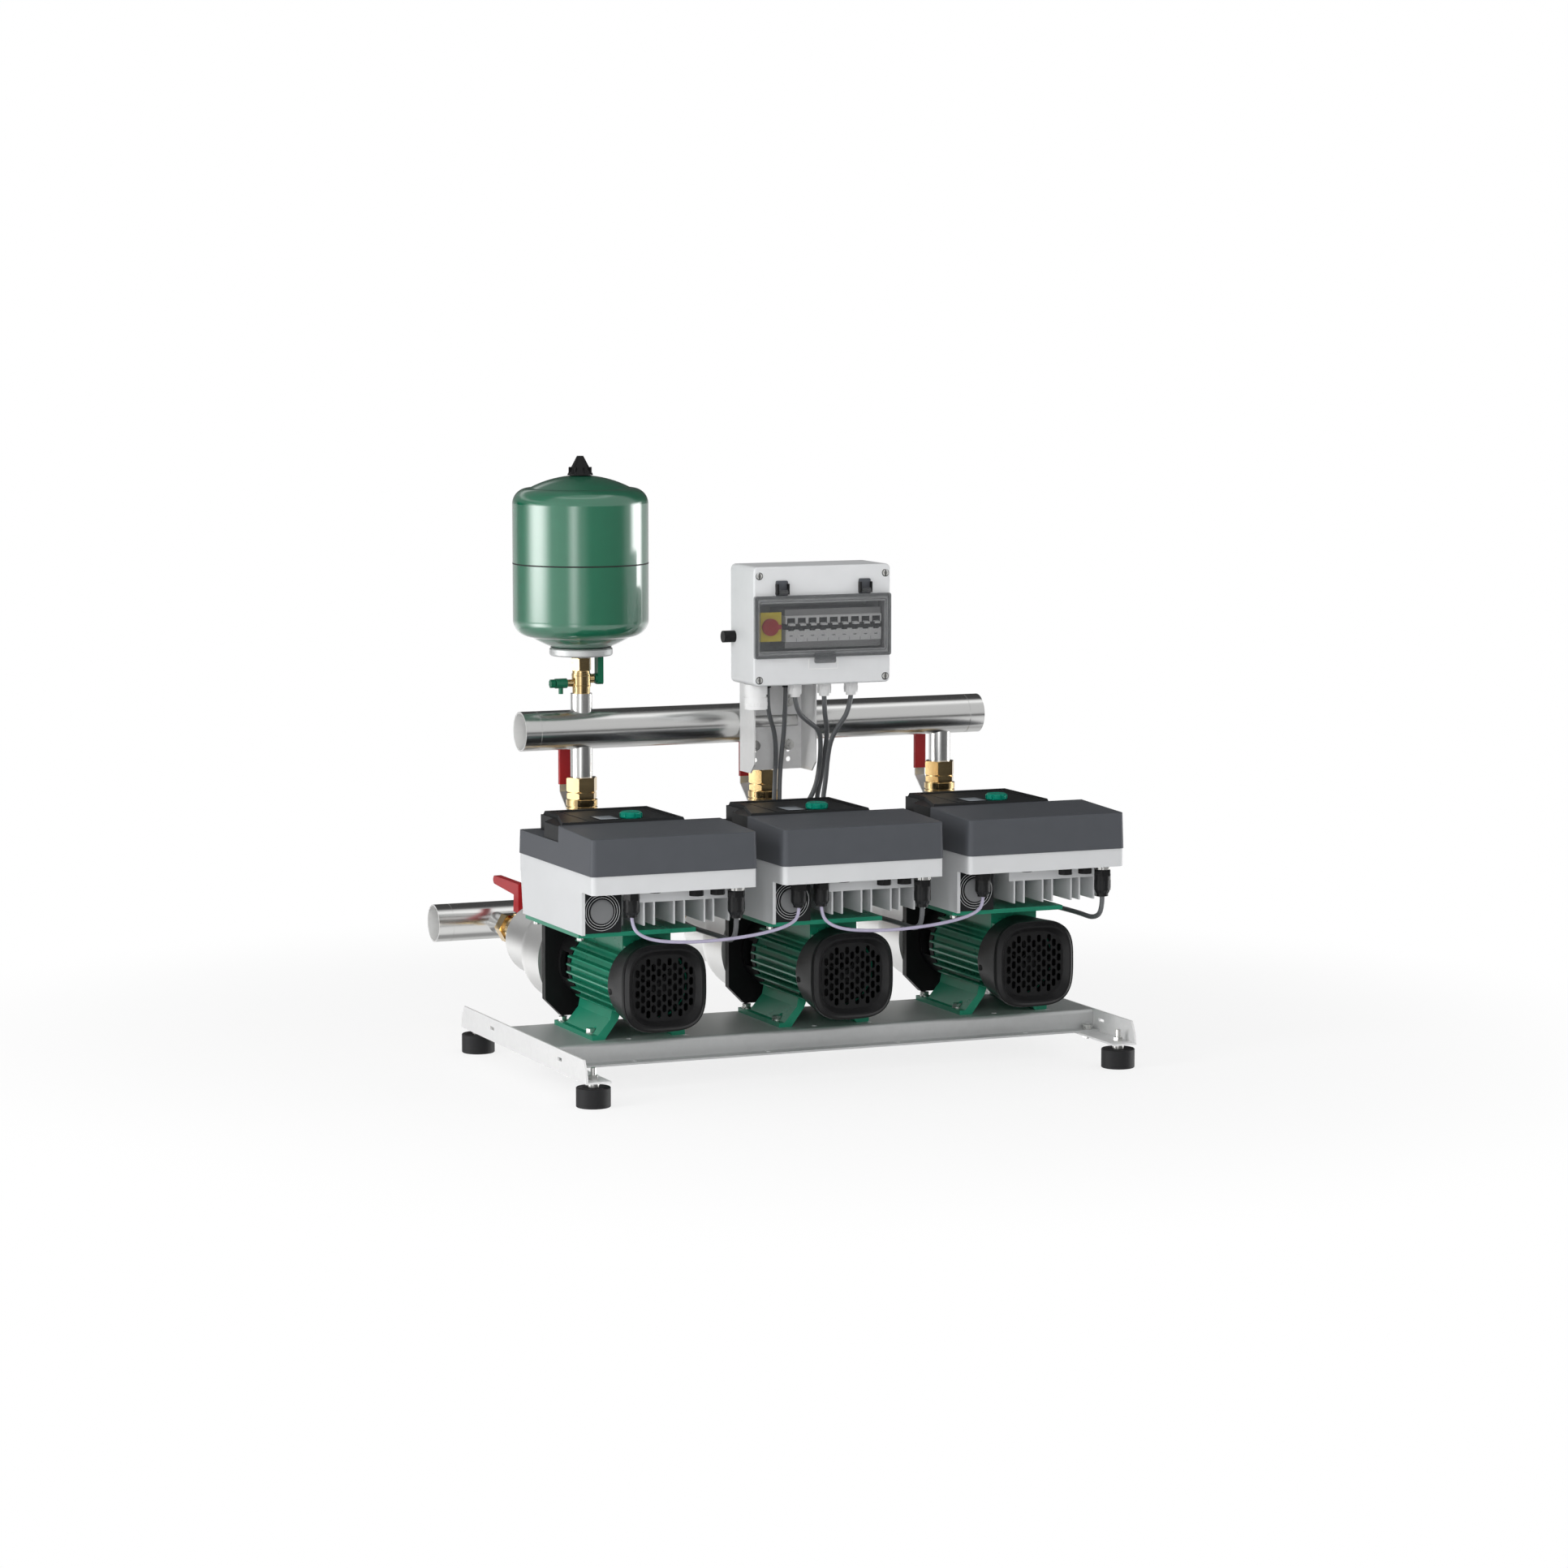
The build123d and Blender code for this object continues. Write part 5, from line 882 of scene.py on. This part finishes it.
NODE_FINISHES = {
    "base_channel": "channel", "cross_members": "galvanised", "bracket": "galvanised",
    "rubber_feet": "rubber", "fasteners": "zinc", "pipe_clamps": "zinc",
    "vessel_flange": "channel",
    "motor_housing": "motor", "pump_casing": "casing", "pump_rotor": "rotor",
    "drive_base": "drive", "drive_cover": "cover", "drive_knob": "knob",
    "discharge_lever": "dipped", "suction_lever": "lever", "check_disc": "white",
    "fan_cowls": "black", "lanterns": "cast_black", "drive_panels": "panel",
    "valve_bodies": "brass", "vessel_valve": "vessel_brass",
    "discharge_manifold": "pipe", "suction_manifold": "pipe",
    "vessel": "vessel", "vessel_lever": "wing", "drain_knob": "wing",
    "control_box": "box", "main_switch": "switch_red", "breakers": "breaker",
    "breaker_toggles": "toggle", "control_window": "window",
    "black_fittings": "black", "white_glands": "white",
    "power_cable": "power_cable", "signal_cable": "power_cable", "bus_cable": "bus_cable",
}


def finish_of(node):
    """The finish name of a node or a kind of node, whose copies end in a number."""
    return NODE_FINISHES.get(node) or NODE_FINISHES[node.rsplit("_", 1)[0]]


class DressNodes(bpy.types.Operator):
    """Gives every CAD node its finish."""

    bl_idname = "pump_set.dress_nodes"
    bl_label = "Dress the nodes"

    def execute(self, context):
        for name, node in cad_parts.items():
            node.data.materials.clear()
            node.data.materials.append(Stock.take(finish_of(name)))
        return {"FINISHED"}


class LayCables(bpy.types.Operator):
    """Lays the power, signal and bus cables."""

    bl_idname = "pump_set.lay_cables"
    bl_label = "Lay the cables"

    def execute(self, context):
        sizes = context.scene.pump_set_sizes
        runs = (
            ("power_cable", POWER_ROUTES, POWER_LENGTHS, sizes.power_diameter,
             "loose", "cable_grey"),
            ("signal_cable", SIGNAL_ROUTES, SIGNAL_LENGTHS, sizes.signal_diameter,
             "loose", "cable_grey"),
            ("bus_cable", BUS_ROUTES, BUS_LENGTHS, sizes.bus_diameter,
             "hanging", "cable_lilac"),
        )
        for kind, routes, lengths, diameter, lay, slot in runs:
            sheath = Stock.take(finish_of(kind))
            for i, (route, length) in enumerate(zip(routes, lengths)):
                cable(f"{kind}_{i + 1}", route, length, diameter, sheath)
        return {"FINISHED"}


class SetStage(bpy.types.Operator):
    """Sets the floor, the studio light and the photograph's camera."""

    bl_idname = "pump_set.set_stage"
    bl_label = "Set the stage"

    def execute(self, context):
        sizes = context.scene.pump_set_sizes
        context.scene.view_settings.view_transform = "Standard"
        corners = [(-FLOOR_HALF, -FLOOR_HALF, 0), (FLOOR_HALF, -FLOOR_HALF, 0),
                   (FLOOR_HALF, FLOOR_HALF, 0), (-FLOOR_HALF, FLOOR_HALF, 0)]
        data = bpy.data.meshes.new("floor")
        data.from_pydata(corners, [], [(0, 1, 2, 3)])
        data.materials.append(white_floor(context.scene.pump_set_colours.floor))
        floor = bpy.data.objects.new("floor", data)
        context.collection.objects.link(floor)
        floor.visible_glossy = False
        studio_world(0.5)
        soft_box("key_left", (-2.8, -1.0, 1.2), 0.9, 2.0, 40)
        soft_box("fill_right", (2.6, -1.4, 1.0), 0.7, 1.8, 12)
        soft_box("top", (-0.4, 0.2, 3.0), 2.0, 1.6, 5)
        soft_box("front", (-1.2, -3.6, 1.2), 1.4, 1.2, 32)
        photo_camera(sizes.camera_place, sizes.camera_azimuth, sizes.camera_elevation,
                     sizes.camera_lens)
        return {"FINISHED"}


def trim(name, grids, finish, body="set"):
    """One piece over all the grids, in a finish of the stock."""
    shown(name, skin(name, grids), Stock.take(finish), body)


class AddGlandCaps(bpy.types.Operator):
    """Ribbed cap nuts over the glands, and the bright collars of the power glands."""

    bl_idname = "pump_set.add_gland_caps"
    bl_label = "Add the gland caps"

    def execute(self, context):
        places = [(PUMPS[i] + x, GLAND_Y, 289.0)
                  for i, x in ((0, -55.0), (1, -91.0), (1, -55.0), (2, -91.0))]
        caps = [turned(cap_nut(11.5, 17.0), place, "-z", 84, ribs=14, depth=0.9)
                for place in places]
        places = [(x + POWER_GLAND_X, GLAND_Y, 285.0) for x in PUMPS]
        caps += [turned(cap_nut(12.5, 22.0), place, "-z", 84, ribs=14, depth=0.9)
                 for place in places]
        trim("drive_gland_caps", caps, "gland_black")
        rings = [turned(closed_ring(10.0, 13.4, 7.0), (x + POWER_GLAND_X, GLAND_Y, 301.0))
                 for x in PUMPS]
        trim("power_gland_collars", rings, "zinc")
        box_caps = [turned(cap_nut(10.6, 11.0), (x, BOX_GLAND_Y, 573.5), "-z", 84,
                           ribs=14, depth=0.7) for x in BOX_GLAND_XS]
        box_caps.append(turned(closed_ring(15.0, 18.5, 5.0), (-68.0, BOX_GLAND_Y, 548.0), "z", 96,
                               ribs=24, depth=0.5))
        trim("box_gland_caps", box_caps, "white")
        return {"FINISHED"}


def cap_nut(radius, height):
    """Closed outline of a domed cap nut with a hole for its cable, foot at zero height."""
    hole = radius * 0.5
    return (
        (hole, 0.0), (radius, 0.0), (radius + 0.25, height * 0.06), (radius + 0.25, height * 0.55),
        (radius * 0.93, height * 0.72), (radius * 0.8, height * 0.9), (radius * 0.68, height),
        (hole, height), (hole, 0.0),
    )


def closed_ring(inner, outer, height, ease=0.4):
    """Closed outline of a flat ring with eased outer corners."""
    return (
        (inner, 0.0), (outer - ease, 0.0), (outer, ease), (outer, height - ease),
        (outer - ease, height), (inner, height), (inner, 0.0),
    )


def pan_head(radius, height):
    """Outline of a low rounded screw head that stands on zero height."""
    arch = np.linspace(0.0, math.pi / 2, 6)
    rise = [(radius * math.cos(a) ** 0.6 if a < 1.5 else 0.0, height * math.sin(a)) for a in arch]
    return [(0.0, 0.0), *rise]


class AddFanFaces(bpy.types.Operator):
    """Hub discs and bright guard rings on the drives' square cooling fans."""

    bl_idname = "pump_set.add_fan_faces"
    bl_label = "Add the fan faces"

    def execute(self, context):
        disc = ((0.0, 0.0), (17.9, 0.0), (17.9, 1.0), (16.9, 1.8), (14.0, 2.2), (0.0, 2.5))
        discs = [turned(disc, (x + FAN_X, 56.6, FAN_Z), "-y") for x in PUMPS]
        wires = [turned(round_bead(radius, 0.38), (x + FAN_X, 56.8, FAN_Z), "-y", 72)
                 for x in PUMPS for radius in (20.6, 24.2, 27.8)]
        trim("fan_hub_discs", discs, "fan_grey")
        trim("fan_guard_rings", wires, "drive")
        return {"FINISHED"}


def round_bead(radius, wire):
    """Closed circle of a ring's section, a wire's radius round a larger radius."""
    turn = np.linspace(0.0, math.tau, 11)
    return np.stack((radius + wire * np.cos(turn), wire * np.sin(turn)), axis=-1)


class AddPanelFaces(bpy.types.Operator):
    """Display panes, their frames and the knobs' rims on the operating panels."""

    bl_idname = "pump_set.add_panel_faces"
    bl_label = "Add the panel faces"

    def execute(self, context):
        panes = []
        frames = []
        for x in PUMPS:
            pane = (x - 36.0, 186.0, PANEL_Z)
            panel = (x - 6.5, 217.6, PANEL_Z)
            panes.append(lofted(plate_rings(15.0, 21.0, 2.0, 0.7, 0.3), pane, "z"))
            frames.append(lofted(frame_rings(17.0, 23.0, 3.0, 2.0, 1.0), pane, "z"))
            frames.append(lofted(frame_rings(68.0, 67.0, 4.0, 1.6, 1.3), panel, "z"))
        trim("display_panes", panes, "display")
        trim("display_frames", frames, "panel")
        crown = ((0.0, 0.0), (14.6, 0.0), (14.9, 0.4), (14.6, 0.9), (13.4, 1.3), (12.9, 1.0),
                 (0.0, 0.8))
        for i, x in enumerate(PUMPS):
            x += KNOB[0]
            grids = [
                turned(crown, (x, KNOB[1], 404.7), "z", 64),
                lofted(plate_rings(0.9, 5.5, 0.8, 0.7, 0.25), (x, KNOB[1] + 7.5, 405.4), "z"),
            ]
            trim(f"knob_crown_{i + 1}", grids, "knob", f"knob_{i + 1}")
        return {"FINISHED"}


def frame_rings(half_x, half_y, corner, wide, thick):
    """Rings of a closed raised frame: up its outer wall, across, and down its inner wall."""
    inner = max(corner - wide, 0.05)
    return (
        (half_x, half_y, corner, 0.0),
        (half_x, half_y, corner, thick * 0.7),
        (half_x - wide * 0.25, half_y - wide * 0.25, corner, thick),
        (half_x - wide * 0.75, half_y - wide * 0.75, inner, thick),
        (half_x - wide, half_y - wide, inner, thick * 0.7),
        (half_x - wide, half_y - wide, inner, 0.0),
        (half_x, half_y, corner, 0.0),
    )


class AddVesselTrim(bpy.types.Operator):
    """Dark seam band, flange gasket and the valve's turned rings."""

    bl_idname = "pump_set.add_vessel_trim"
    bl_label = "Add the vessel trim"

    def execute(self, context):
        place = (PUMPS[0], DISCHARGE_Y)
        seam = turned(closed_ring(102.0, 103.25, 2.2, 0.3), (*place, 761.3), "z", 128)
        gasket = turned(closed_ring(30.0, 44.5, 3.4, 0.5), (*place, 632.6), "z", 96)
        trim("vessel_seals", [seam, gasket], "rubber")
        rings = [turned(closed_ring(12.0, radius, 1.6, 0.5), (*place, z), "z", 64)
                 for z, radius in ((590.5, 15.0), (593.2, 14.2), (575.5, 14.9))]
        trim("vessel_valve_rings", rings, "brass")
        return {"FINISHED"}


class AddBoxTrim(bpy.types.Operator):
    """Window border and latch, hinge plates, lid screws and breaker marks of the box."""

    bl_idname = "pump_set.add_box_trim"
    bl_label = "Add the box trim"

    def execute(self, context):
        border = lofted(frame_rings(111.6, 47.1, 3.2, 5.0, 1.0), WINDOW)
        ledge = lofted(frame_rings(104.0, 39.0, 2.5, 1.2, 0.5), WINDOW)
        tongue = lofted(plate_rings(17.5, 8.0, 2.5, 2.6, 0.8), (LATCH_X, 199.0, 622.0))
        trim("window_border", [border, ledge, tongue], "window_edge", "window")
        sill = lofted(frame_rings(24.5, 8.5, 2.0, 1.4, 0.7), (LATCH_X, LID_Y, 612.5))
        trim("latch_sill", [sill], "white")
        plates = [lofted(plate_rings(9.6, 11.6, 2.5, 3.6, 0.8), (x, LID_Y, 728.0))
                  for x in (-44.5, 91.5)]
        trim("hinge_plates", plates, "cover")
        screws = []
        slots = []
        for x in LID_SCREW_XS:
            for z in LID_SCREW_ZS:
                screws.append(turned(pan_head(4.8, 1.1), (x, LID_Y - 0.3, z), "-y", 40))
                slots.append(lofted(plate_rings(0.75, 4.6, 0.3, 0.5, 0.1), (x, LID_Y - 1.25, z)))
                slots.append(turned(closed_ring(4.7, 5.7, 0.5, 0.1), (x, LID_Y - 0.1, z), "-y", 48))
        trim("lid_screws", screws, "zinc")
        trim("lid_screw_slots", slots, "rubber")
        marks = []
        for i in range(BREAKER_COUNT):
            x = BREAKER_LEFT + BREAKER_PITCH * (i + 0.5)
            marks.append(lofted(plate_rings(2.6, 0.7, 0.2, 0.2, 0.05), (x, 213.0, 655.0)))
            marks.append(lofted(plate_rings(0.35, 2.2, 0.1, 0.2, 0.05), (x + 8.7, 213.0, 648.8)))
        trim("breaker_marks", marks, "fan_grey")
        return {"FINISHED"}


class AddClampNuts(bpy.types.Operator):
    """Washers and hexagon nuts on the four threads of the bracket's pipe clamps."""

    bl_idname = "pump_set.add_clamp_nuts"
    bl_label = "Add the clamp nuts"

    def execute(self, context):
        nut = ((3.2, 0.0), (7.2, 0.0), (7.6, 0.5), (7.6, 4.6), (6.6, 5.6), (3.2, 5.7), (3.2, 0.0))
        washer = closed_ring(3.2, 8.6, 1.3)
        grids = []
        for x in (-CLAMP_HALF_X, CLAMP_HALF_X):
            for z in (DISCHARGE_Z - CLAMP_HALF_Z, DISCHARGE_Z + CLAMP_HALF_Z):
                grids.append(turned(washer, (x, CLAMP_SEAT_Y, z), "-y", 48))
                grids.append(turned(nut, (x, CLAMP_SEAT_Y - 1.2, z), "-y", 36, flats=6))
        trim("clamp_nuts", grids, "zinc")
        return {"FINISHED"}


class AddMotorTrim(bpy.types.Operator):
    """Stay screws under the motor plates and the screws that hold the fan cowls."""

    bl_idname = "pump_set.add_motor_trim"
    bl_label = "Add the motor trim"

    def execute(self, context):
        stay = ((0.0, 0.0), (4.6, 0.0), (5.0, 0.5), (5.0, 4.6), (4.4, 5.4), (2.6, 5.8), (0.0, 6.0))
        plug = ((0.0, 0.0), (4.6, 0.0), (4.6, 0.8), (3.8, 1.2), (3.0, 0.3), (0.0, 0.2))
        stays = [turned(stay, (x - 118.0, y, 238.0), "-z", 36, flats=6)
                 for x in PUMPS for y in (76.0, 262.0)]
        plugs = [turned(plug, (x + reach, 90.0, AXIS_Z - 9.0), side, 40)
                 for x in PUMPS for side, reach in (("-x", -COWL_SCREW_X), ("x", COWL_SCREW_X))]
        trim("plate_stays", stays, "zinc")
        trim("cowl_screws", plugs, "rubber")
        return {"FINISHED"}


class PumpSetPanel(bpy.types.Panel):
    """Lists the sizes, the colours and the steps of the set."""

    bl_idname = "VIEW3D_PT_pump_set"
    bl_label = "Booster pump set"
    bl_space_type = "VIEW_3D"
    bl_region_type = "UI"
    bl_category = "Pump set"

    def draw(self, context):
        for group in (context.scene.pump_set_sizes, context.scene.pump_set_colours):
            for key in group.__annotations__:
                self.layout.prop(group, key)
        for step in STEPS:
            self.layout.operator(step.bl_idname)


STEPS = (SetStage, LayCables, DressNodes, AddGlandCaps, AddFanFaces, AddPanelFaces,
         AddVesselTrim, AddBoxTrim, AddClampNuts, AddMotorTrim)
CLASSES = (SetSizes, SetColours, *STEPS, PumpSetPanel)


def register():
    """Registers the classes and hangs the settings on the scene."""
    for each in CLASSES:
        bpy.utils.register_class(each)
    bpy.types.Scene.pump_set_sizes = bpy.props.PointerProperty(type=SetSizes)
    bpy.types.Scene.pump_set_colours = bpy.props.PointerProperty(type=SetColours)


def unregister():
    """Takes the settings and the classes away again."""
    del bpy.types.Scene.pump_set_colours
    del bpy.types.Scene.pump_set_sizes
    for each in reversed(CLASSES):
        bpy.utils.unregister_class(each)


def main():
    """Builds the whole set in order."""
    register()
    for step in STEPS:
        group, call = step.bl_idname.split(".")
        getattr(getattr(bpy.ops, group), call)()


if __name__ == "__main__":
    main()
